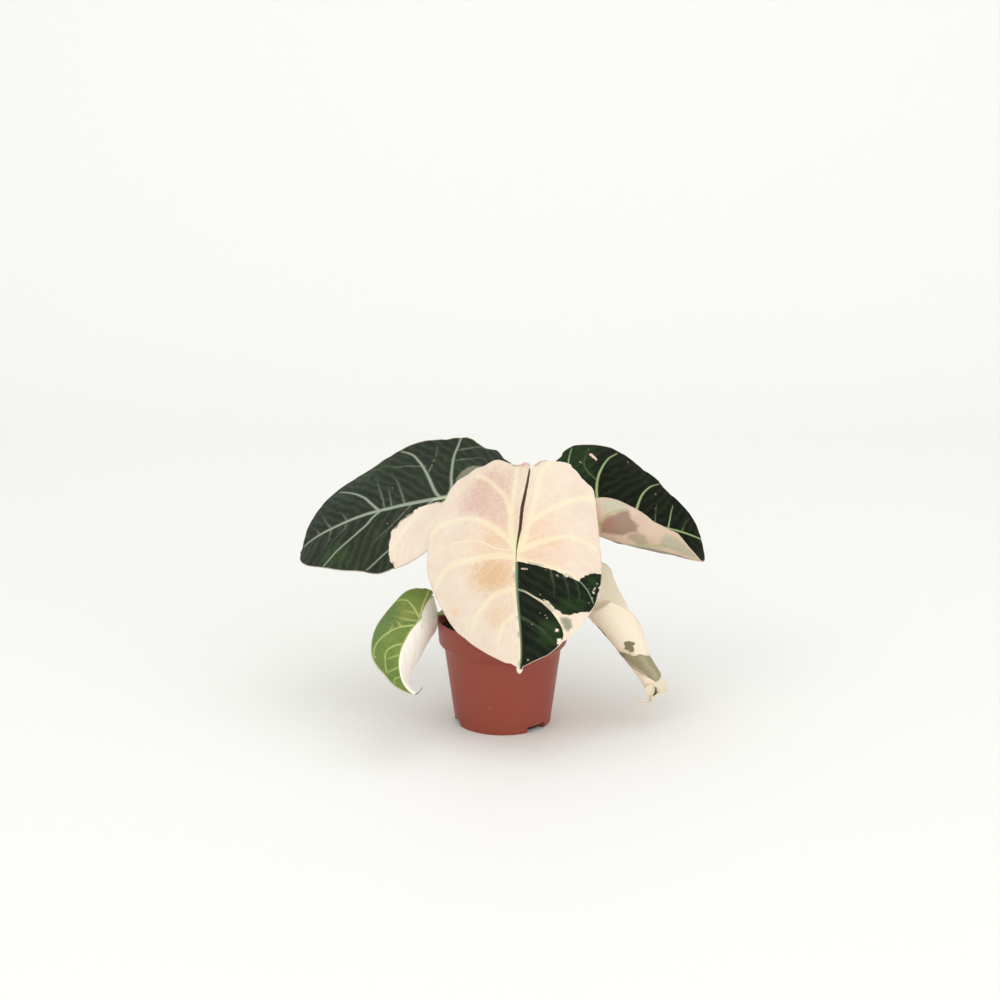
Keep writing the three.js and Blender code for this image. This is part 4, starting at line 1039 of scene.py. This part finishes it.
stems = {
    "front": {"bearing": -80, "radius": 2, "rise": (1, -8, 105), "arrive": (12, -16, 119)},
    "left_rear": {"bearing": 135, "radius": 2, "rise": (-6, 8, 108), "arrive": (-31, 51, 120)},
    "right_rear": {"bearing": 45, "radius": 2, "rise": (6, 18, 122), "arrive": (50, 46, 128)},
    "right_low": {"bearing": -10, "radius": 2, "rise": (16, -2, 90), "arrive": (43, 7, 78)},
    "left_low": {"bearing": 198, "radius": 1.6, "rise": (-28, 12, 80), "arrive": (-57, -2, 74)},
}


def stemMaterial():
    # fleshy leaf stem: smooth waxy skin, pale green with faint darker streaks along it
    material, tree = newMaterial("stemSkin")
    uv = addNode(tree, "ShaderNodeUVMap", {"uv_map": "stemMap"})
    stretch = addNode(tree, "ShaderNodeMapping", {"Scale": (24, 3, 1)}, {"Vector": uv.outputs["UV"]})
    streaks = addNode(tree, "ShaderNodeTexNoise", {"Scale": 1, "Detail": 4, "Roughness": 0.6},
                      {"Vector": stretch.outputs[0]})
    tone = addNode(tree, "ShaderNodeMix", {"data_type": "RGBA", 6: linearColour("c9c68d"),
                                           7: linearColour("9a9c5c")}, {0: streaks.outputs["Fac"]})
    along = addNode(tree, "ShaderNodeSeparateXYZ", links={0: uv.outputs["UV"]})
    foot = addNode(tree, "ShaderNodeMapRange", {"From Min": 0.25, "From Max": 0.0, "To Max": 0.7},
                   {"Value": along.outputs["Y"]})
    blushed = addNode(tree, "ShaderNodeMix", {"data_type": "RGBA", 7: linearColour("a8876a")},
                      {0: foot.outputs[0], 6: tone.outputs[2]})
    bump = addNode(tree, "ShaderNodeBump", {"Strength": 0.3, "Distance": 0.1 * mm},
                   {"Height": streaks.outputs["Fac"]})
    shader = addNode(tree, "ShaderNodeBsdfPrincipled", {
        "Roughness": 0.42, "IOR": 1.42, "Subsurface Weight": 0.15, "Subsurface Scale": 0.001},
        {"Base Color": blushed.outputs[2], "Normal": bump.outputs[0]})
    addNode(tree, "ShaderNodeOutputMaterial", links={"Surface": shader.outputs["BSDF"]})
    return material


def buildStem(name, stem, path, material):
    a = math.radians(stem["bearing"])
    foot = Vector((3 * math.cos(a), 3 * math.sin(a), 68))  # inside the crown
    joint = path[np.abs(path[:, 0]).argmin()]
    top = Vector(joint[1:4]) - Vector(joint[7:10]) * 0.8
    rise, arrive = Vector(stem["rise"]), Vector(stem["arrive"])
    steps, sides = 44, 20
    points = [((1 - t) ** 3 * foot + 3 * (1 - t) ** 2 * t * rise + 3 * (1 - t) * t * t * arrive
               + t ** 3 * top) for t in (i / steps for i in range(steps + 1))]
    bm = bmesh.new()
    angleLayer = bm.verts.layers.float.new("angle")
    alongLayer = bm.verts.layers.float.new("along")
    uvMap = bm.loops.layers.uv.new("stemMap")
    ring = bmesh.ops.create_circle(bm, segments=sides, radius=1)["verts"]
    edges = list({e for v in ring for e in v.link_edges})
    for vert in ring:
        vert[angleLayer] = math.atan2(vert.co.y, vert.co.x) / (2 * math.pi)
    previous = Matrix.Identity(4)
    side = Vector((-math.sin(a), math.cos(a), 0))
    for i, point in enumerate(points):
        t = i / steps
        tangent = (points[min(i + 1, steps)] - points[max(i - 1, 0)]).normalized()
        side = (side - tangent * side.dot(tangent)).normalized()
        radius = stem["radius"] * (1 + 0.55 * max(0, 1 - t / 0.25) ** 2
                                   + 0.12 * math.exp(-((t - 1) / 0.04) ** 2) - 0.12 * t)
        turned = Matrix((side, tangent.cross(side), tangent)).transposed().to_4x4()
        pose = Matrix.Translation(point * mm) @ turned \
            @ Matrix.Diagonal((radius * mm, 0.92 * radius * mm, 1, 1))
        if i:
            grown = bmesh.ops.extrude_edge_only(bm, edges=edges)["geom"]
            verts = [g for g in grown if isinstance(g, bmesh.types.BMVert)]
            edges = [g for g in grown if isinstance(g, bmesh.types.BMEdge)
                     and all(v in verts for v in g.verts)]
        else:
            verts = ring
        bmesh.ops.transform(bm, matrix=pose @ previous.inverted(), verts=verts)
        for vert in verts:
            vert[alongLayer] = t
        previous = pose
    bmesh.ops.holes_fill(bm, edges=bm.edges, sides=sides)
    bmesh.ops.recalc_face_normals(bm, faces=bm.faces)
    for face in bm.faces:
        angles = [loop.vert[angleLayer] for loop in face.loops]
        wraps = max(angles) - min(angles) > 0.5
        for loop in face.loops:
            angle = loop.vert[angleLayer]
            loop[uvMap].uv = (angle + (1 if wraps and angle < 0 else 0), loop.vert[alongLayer])
    piece = finishPiece("leafStem_" + name, bm, [material])
    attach(piece, "root")
    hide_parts("petiole_" + name)


# tips drawn out into threads; points in the shared frame, in mm
tips = {
    "front": {"colour": "d9aca0", "radii": (0.5, 1.2, 1.4, 0.7), "points": [
        (18.2, -16.4, 185.2), (16.6, -17, 186.7), (14.4, -17, 187), (12.6, -15.4, 185.7)]},
    "left_low": {"colour": "7a5a3c", "radii": (0.75, 0.5, 0.4, 0.3, 0.12), "points": [
        (-57.6, -74.8, 45.3), (-55.7, -75.2, 46.4), (-54.4, -75.6, 48), (-53.5, -76, 49.6),
        (-53.1, -76.4, 51.3)]},
    "right_low": {"colour": "e3d3b2", "radii": (1.4, 1.15, 0.95, 0.8, 0.7, 0.55, 0.4, 0.15), "points": [
        (102.2, -11.4, 20.4), (101.8, -12, 18.3), (99.6, -12.4, 16.4), (97, -12.8, 15.9), (94.8, -13.2, 17),
        (93.2, -13.6, 19.1), (92.6, -14, 21.3), (93.4, -14.4, 23.4)]},
}


def buildTip(name, tip):
    material, tree = newMaterial("leafTip_" + name)  # drying tip tissue, dull
    shader = addNode(tree, "ShaderNodeBsdfPrincipled",
                     {"Base Color": linearColour(tip["colour"]), "Roughness": 0.6})
    addNode(tree, "ShaderNodeOutputMaterial", links={"Surface": shader.outputs["BSDF"]})
    line = smoothLine(tip["points"], 0.5)
    sides = 12
    bm = bmesh.new()
    ring = bmesh.ops.create_circle(bm, segments=sides, radius=mm)["verts"]
    edges = list({e for v in ring for e in v.link_edges})
    previous = Matrix.Identity(4)
    for i, point in enumerate(line):
        t = i / (len(line) - 1) * (len(tip["radii"]) - 1)
        radius = float(np.interp(t, range(len(tip["radii"])), tip["radii"]))
        ahead = (line[min(i + 1, len(line) - 1)] - line[max(i - 1, 0)]).normalized()
        turned = ahead.to_track_quat("Z", "Y").to_matrix().to_4x4()
        pose = Matrix.Translation(point * mm) @ turned @ Matrix.Diagonal((radius, 0.6 * radius, 1, 1))
        verts = ring
        if i:
            grown = bmesh.ops.extrude_edge_only(bm, edges=edges)["geom"]
            verts = [g for g in grown if isinstance(g, bmesh.types.BMVert)]
            edges = [g for g in grown if isinstance(g, bmesh.types.BMEdge)
                     and all(v in verts for v in g.verts)]
        bmesh.ops.transform(bm, matrix=pose @ previous.inverted(), verts=verts)
        previous = pose
    bmesh.ops.holes_fill(bm, edges=bm.edges, sides=sides)
    bmesh.ops.recalc_face_normals(bm, faces=bm.faces)
    piece = finishPiece("leafTip_" + name, bm, [material])
    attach(piece, "root")


for tipName, tip in tips.items():
    buildTip(tipName, tip)

stemSkin = stemMaterial()
for stemName, stem in stems.items():
    buildStem(stemName, stem, midribs[stemName], stemSkin)
print("stems ready")

crown = {
    "radius": 7,
    # share of the radius and height, from the foot up over the sheath scars
    "profile": [(0.6, 56), (1, 60), (1, 66), (0.93, 67.2), (0.97, 68.4), (0.88, 69.4), (0.9, 70.4),
                (0.8, 71.4), (0.8, 72.3), (0.62, 73.6), (0.6, 74.4), (0.35, 75.5)],
    "axis": 0.05, "foot": 56, "top": 75.9, "steps": 40,
}


def buildCrown():
    # short corky stem base, ringed by the scars of old leaf sheaths
    material, tree = newMaterial("corkySkin")
    place = addNode(tree, "ShaderNodeTexCoord")
    flecks = addNode(tree, "ShaderNodeTexNoise", {"Scale": 1000 / 3, "Detail": 4},
                     {"Vector": place.outputs["Object"]})
    tone = addNode(tree, "ShaderNodeMix", {"data_type": "RGBA", 6: linearColour("6b5138"),
                                           7: linearColour("a9a06a")}, {0: flecks.outputs["Fac"]})
    bump = addNode(tree, "ShaderNodeBump", {"Strength": 0.6, "Distance": 0.4 * mm},
                   {"Height": flecks.outputs["Fac"]})
    shader = addNode(tree, "ShaderNodeBsdfPrincipled", {"Roughness": 0.75},
                     {"Base Color": tone.outputs[2], "Normal": bump.outputs[0]})
    addNode(tree, "ShaderNodeOutputMaterial", links={"Surface": shader.outputs["BSDF"]})

    profile = [(crown["axis"], crown["foot"])] \
        + [(share * crown["radius"], z) for share, z in crown["profile"]] + [(crown["axis"], crown["top"])]
    bm = bmesh.new()
    verts = [bm.verts.new((x * mm, 0, z * mm)) for x, z in profile]
    edges = [bm.edges.new(pair) for pair in zip(verts, verts[1:])]
    bmesh.ops.spin(bm, geom=verts + edges, axis=(0, 0, 1), cent=(0, 0, 0), angle=2 * math.pi,
                   steps=crown["steps"], use_merge=True)
    bmesh.ops.holes_fill(bm, edges=bm.edges, sides=crown["steps"])
    for vert in bm.verts:
        lump = noise.noise(vert.co * 400) * 0.5 * mm
        away = Vector((vert.co.x, vert.co.y, 0))
        if away.length > mm:
            vert.co += away.normalized() * lump
    bmesh.ops.recalc_face_normals(bm, faces=bm.faces)
    piece = finishPiece("stemCrown", bm, [material])
    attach(piece, "root")
    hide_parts("crown")


buildCrown()

# soil

soil = {
    "rimRadius": 42.7, "rimHeight": 65.4, "middleHeight": 67.4,
    "plug": ((42.0, 58.2), (38.4, 53.4), (31.6, 2.2), (30.2, 1.6)),  # radius and height down inside the pot
    "crumbs": 900, "perlite": 90, "chips": 90, "seed": 11,
}


def soilHeight(x, y):
    r = math.hypot(x, y) / soil["rimRadius"]
    dome = soil["middleHeight"] + (soil["rimHeight"] - soil["middleHeight"]) * min(r, 1) ** 2
    return dome + 0.8 * noise.noise(Vector((x / 7, y / 7, 3))) \
        + 0.45 * noise.noise(Vector((x / 2.4, y / 2.4, 8)))


def soilMaterial(name, low, high, roughness, grain):
    material, tree = newMaterial(name)
    place = addNode(tree, "ShaderNodeTexCoord")
    mottle = addNode(tree, "ShaderNodeTexNoise", {"Scale": 1000 / grain, "Detail": 5, "Roughness": 0.7},
                     {"Vector": place.outputs["Object"]})
    tone = addNode(tree, "ShaderNodeMix", {"data_type": "RGBA", 6: linearColour(low),
                                           7: linearColour(high)},
                   {0: mottle.outputs["Fac"]})
    bump = addNode(tree, "ShaderNodeBump", {"Strength": 0.8, "Distance": 0.4 * mm},
                   {"Height": mottle.outputs["Fac"]})
    shader = addNode(tree, "ShaderNodeBsdfPrincipled", {"Roughness": roughness},
                     {"Base Color": tone.outputs[2], "Normal": bump.outputs[0]})
    addNode(tree, "ShaderNodeOutputMaterial", links={"Surface": shader.outputs["BSDF"]})
    return material


def buildSoil():
    # damp peat, almost black and without gloss; puffed volcanic glass, chalky white; composted bark,
    # dark brown and fibrous
    peat = soilMaterial("dampPeat", "0c0908", "2a201a", 0.9, 1.6)
    grit = soilMaterial("perliteGrains", "c9c5bb", "efece4", 0.8, 0.8)
    bark = soilMaterial("barkChips", "2a1a10", "5a3c26", 0.85, 1.2)
    chance = random.Random(soil["seed"])

    bm = bmesh.new()
    sheet = bmesh.ops.create_grid(bm, x_segments=110, y_segments=110, size=1)["verts"]
    for vert in sheet:
        u, w = vert.co.x, vert.co.y
        x = soil["rimRadius"] * u * math.sqrt(1 - w * w / 2)
        y = soil["rimRadius"] * w * math.sqrt(1 - u * u / 2)
        vert.co = Vector((x, y, soilHeight(x, y))) * mm
    edges = [e for e in bm.edges if e.is_boundary]
    for radius, height in soil["plug"]:
        grown = bmesh.ops.extrude_edge_only(bm, edges=edges)["geom"]
        verts = [g for g in grown if isinstance(g, bmesh.types.BMVert)]
        edges = [g for g in grown if isinstance(g, bmesh.types.BMEdge) and all(v in verts for v in g.verts)]
        for vert in verts:
            away = math.hypot(vert.co.x, vert.co.y)
            vert.co = Vector((vert.co.x / away * radius, vert.co.y / away * radius, height)) * mm
    bmesh.ops.edgeloop_fill(bm, edges=edges)
    bmesh.ops.recalc_face_normals(bm, faces=bm.faces)
    piece = finishPiece("soilBed", bm, [peat])
    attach(piece, "root")
    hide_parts("soil")

    for name, material, count, sizes, squash in (
            ("soilCrumbs", peat, soil["crumbs"], (0.5, 1.5), (0.6, 1)),
            ("perliteGrains", grit, soil["perlite"], (0.4, 1.1), (0.6, 1)),
            ("barkChips", bark, soil["chips"], (0.9, 2.2), (0.2, 0.4))):
        bm = bmesh.new()
        for _ in range(count):
            away = soil["rimRadius"] * math.sqrt(chance.random()) * 0.965
            bearing = chance.uniform(0, 2 * math.pi)
            x, y = away * math.cos(bearing), away * math.sin(bearing)
            size = chance.uniform(*sizes)
            if away + size > soil["rimRadius"] - 0.3 or away < 7.5 + size:
                continue
            place = Matrix.Translation(Vector((x, y, soilHeight(x, y) + 0.25 * size)) * mm)
            turn = Euler([chance.uniform(0, 6.28) if name != "barkChips" else chance.uniform(-0.4, 0.4)
                          for _ in range(2)] + [chance.uniform(0, 6.28)]).to_matrix().to_4x4()
            stretch = Matrix.Diagonal((1, chance.uniform(0.6, 1), chance.uniform(*squash), 1))
            bmesh.ops.create_icosphere(bm, subdivisions=1, radius=size * mm, matrix=place @ turn @ stretch)
        for vert in bm.verts:
            vert.co += Vector((chance.uniform(-1, 1), chance.uniform(-1, 1),
                               chance.uniform(-1, 1))) * 0.12 * mm
        grains = finishPiece(name, bm, [material], smooth=name == "perliteGrains")
        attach(grains, "root")
    print("soil ready")


buildSoil()

# pot

pot = {
    "height": 74, "rimRadius": 45, "rimFoot": 57.5, "shoulder": 53, "wallRadius": 40, "baseRadius": 33,
    "wall": 1.2, "drainBearings": (-46, 74, 194), "drainHalf": 14, "drainHeight": 4.4, "drainInner": 20.2,
    "steps": 180,
}


def potMaterial():
    # injection moulded polypropylene: even terracotta red, faint satin, fine scuffs and dust
    material, tree = newMaterial("mouldedPolypropylene")
    place = addNode(tree, "ShaderNodeTexCoord")
    mottle = addNode(tree, "ShaderNodeTexNoise", {"Scale": 1000 / 25, "Detail": 3},
                     {"Vector": place.outputs["Object"]})
    base = addNode(tree, "ShaderNodeMix", {"data_type": "RGBA", 6: linearColour("87392b"),
                                           7: linearColour("914536")},
                   {0: mottle.outputs["Fac"]})
    # marks half a millimetre wide where pots were stacked
    scuffMap = addNode(tree, "ShaderNodeMapping", {"Scale": (1, 1, 4)}, {"Vector": place.outputs["Object"]})
    scuffs = addNode(tree, "ShaderNodeTexVoronoi", {"Scale": 1000 / 9}, {"Vector": scuffMap.outputs[0]})
    scuffPick = addNode(tree, "ShaderNodeSeparateColor", links={0: scuffs.outputs["Color"]})
    scuffRare = addNode(tree, "ShaderNodeMath", {"operation": "GREATER_THAN", 1: 0.93},
                        {0: scuffPick.outputs[0]})
    scuffSize = addNode(tree, "ShaderNodeMapRange", {"From Min": 0.07, "From Max": 0.04},
                        {"Value": scuffs.outputs["Distance"]})
    scuffMask = addNode(tree, "ShaderNodeMath", {"operation": "MULTIPLY"},
                        {0: scuffRare.outputs[0], 1: scuffSize.outputs[0]})
    marked = addNode(tree, "ShaderNodeMix", {"data_type": "RGBA", 7: linearColour("c9a294")},
                     {0: scuffMask.outputs[0], 6: base.outputs[2]})
    grain = addNode(tree, "ShaderNodeTexNoise", {"Scale": 1000 / 0.5, "Detail": 2},
                    {"Vector": place.outputs["Object"]})
    rough = addNode(tree, "ShaderNodeMapRange", {"To Min": 0.36, "To Max": 0.5},
                    {"Value": mottle.outputs["Fac"]})
    bump = addNode(tree, "ShaderNodeBump", {"Strength": 0.25, "Distance": 0.03 * mm},
                   {"Height": grain.outputs["Fac"]})
    shader = addNode(tree, "ShaderNodeBsdfPrincipled", {"IOR": 1.49, "Specular IOR Level": 0.35},
                     {"Base Color": marked.outputs[2], "Roughness": rough.outputs[0],
                      "Normal": bump.outputs[0]})
    addNode(tree, "ShaderNodeOutputMaterial", links={"Surface": shader.outputs["BSDF"]})
    return material


def liftSectors(bm, half, low, high, inner, ring):
    # the faces between the ring and the inner radius step up to a new height in every drain sector
    faces = []
    for face in bm.faces:
        centre = face.calc_center_median()
        bearing = math.degrees(math.atan2(centre.y, centre.x))
        radii = [math.hypot(v.co.x, v.co.y) / mm for v in face.verts]
        heights = [v.co.z / mm for v in face.verts]
        if min(radii) > inner - 0.1 and low - 0.05 < min(heights) and max(heights) < high + 0.05 and any(
                abs((bearing - b + 180) % 360 - 180) < half for b in pot["drainBearings"]):
            outwards = face.normal.dot(Vector((centre.x, centre.y, 0)).normalized()) - face.normal.z
            if (outwards > 0) == (low == 0):
                faces.append(face)
    grown = bmesh.ops.extrude_face_region(bm, geom=faces)["geom"]
    bmesh.ops.delete(bm, geom=[f for f in faces if f.is_valid], context="FACES")
    for vert in (g for g in grown if isinstance(g, bmesh.types.BMVert)):
        vert.co.z = high * mm
        away = math.hypot(vert.co.x, vert.co.y)
        if away > (ring - 2.4) * mm:
            vert.co.x, vert.co.y = vert.co.x * ring * mm / away, vert.co.y * ring * mm / away
    bmesh.ops.remove_doubles(bm, verts=bm.verts, dist=0.02 * mm)
    bmesh.ops.dissolve_degenerate(bm, edges=bm.edges, dist=0.01 * mm)
    bm.normal_update()


def buildPot():
    p = pot
    wall = p["wall"]
    slope = (p["wallRadius"] - p["baseRadius"]) / (p["shoulder"] - 1.2)
    drainTop = p["baseRadius"] + slope * (p["drainHeight"] - 1.2)
    pocketHeight = p["drainHeight"] + wall
    pocketRing = p["baseRadius"] - wall + slope * (pocketHeight - 1.2)
    profile = [
        (p["drainInner"], 0), (p["baseRadius"] - 0.9, 0), (p["baseRadius"] - 0.5, 0.1),
        (p["baseRadius"] - 0.2, 0.35), (p["baseRadius"] - 0.04, 0.75), (p["baseRadius"], 1.2),
        (drainTop, p["drainHeight"]), (p["wallRadius"] - 0.3, p["shoulder"] - 2.2),
        (p["wallRadius"], p["shoulder"]),
        (p["wallRadius"] + 0.5, p["shoulder"] + 0.7), (p["rimRadius"] - 1.9, p["rimFoot"] - 0.8),
        (p["rimRadius"] - 1.4, p["rimFoot"] - 0.2), (p["rimRadius"] - 1.2, p["rimFoot"] + 0.3),
        (p["rimRadius"] - 1.1, p["rimFoot"] + 0.9),
        (p["rimRadius"] - 0.15, p["height"] - 1.1), (p["rimRadius"], p["height"] - 0.9),
        (p["rimRadius"], p["height"] - 0.35), (p["rimRadius"] - 0.1, p["height"] - 0.1),
        (p["rimRadius"] - 0.3, p["height"]),
        (p["rimRadius"] - 0.9, p["height"]), (p["rimRadius"] - wall, p["height"] - 0.3),
        (p["rimRadius"] - wall - 0.1, p["height"] - 1), (p["rimRadius"] - 1.2 - wall, p["rimFoot"] + 0.4),
        (p["wallRadius"] - wall, p["shoulder"] + 0.4), (pocketRing, pocketHeight),
        (p["baseRadius"] - wall + 0.1, wall + 0.8), (p["baseRadius"] - wall - 0.6, wall),
        (p["drainInner"] - wall, wall),
    ]
    bm = bmesh.new()
    verts = [bm.verts.new((r * mm, 0, z * mm)) for r, z in profile]
    edges = [bm.edges.new(pair) for pair in zip(verts, verts[1:])]
    bmesh.ops.spin(bm, geom=verts + edges, axis=(0, 0, 1), cent=(0, 0, 0), angle=2 * math.pi,
                   steps=p["steps"], use_merge=True)
    bmesh.ops.holes_fill(bm, edges=bm.edges, sides=p["steps"])
    bmesh.ops.recalc_face_normals(bm, faces=bm.faces)

    # drain arches: the foot of the outer wall is cut away and the base steps up behind it
    liftSectors(bm, p["drainHalf"], 0, p["drainHeight"], p["drainInner"], drainTop)
    liftSectors(bm, p["drainHalf"] + 2, wall, pocketHeight, p["drainInner"] - wall, pocketRing)
    bmesh.ops.recalc_face_normals(bm, faces=bm.faces)
    for edge in bm.edges:
        edge.smooth = edge.calc_face_angle(0) < math.radians(38)
    openEdges = sum(1 for e in bm.edges if not e.is_manifold)
    piece = finishPiece("nurseryPot", bm, [potMaterial()])
    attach(piece, "root")
    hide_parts("pot")
    print("pot ready", len(piece.data.polygons), "faces", openEdges, "open edges")


buildPot()
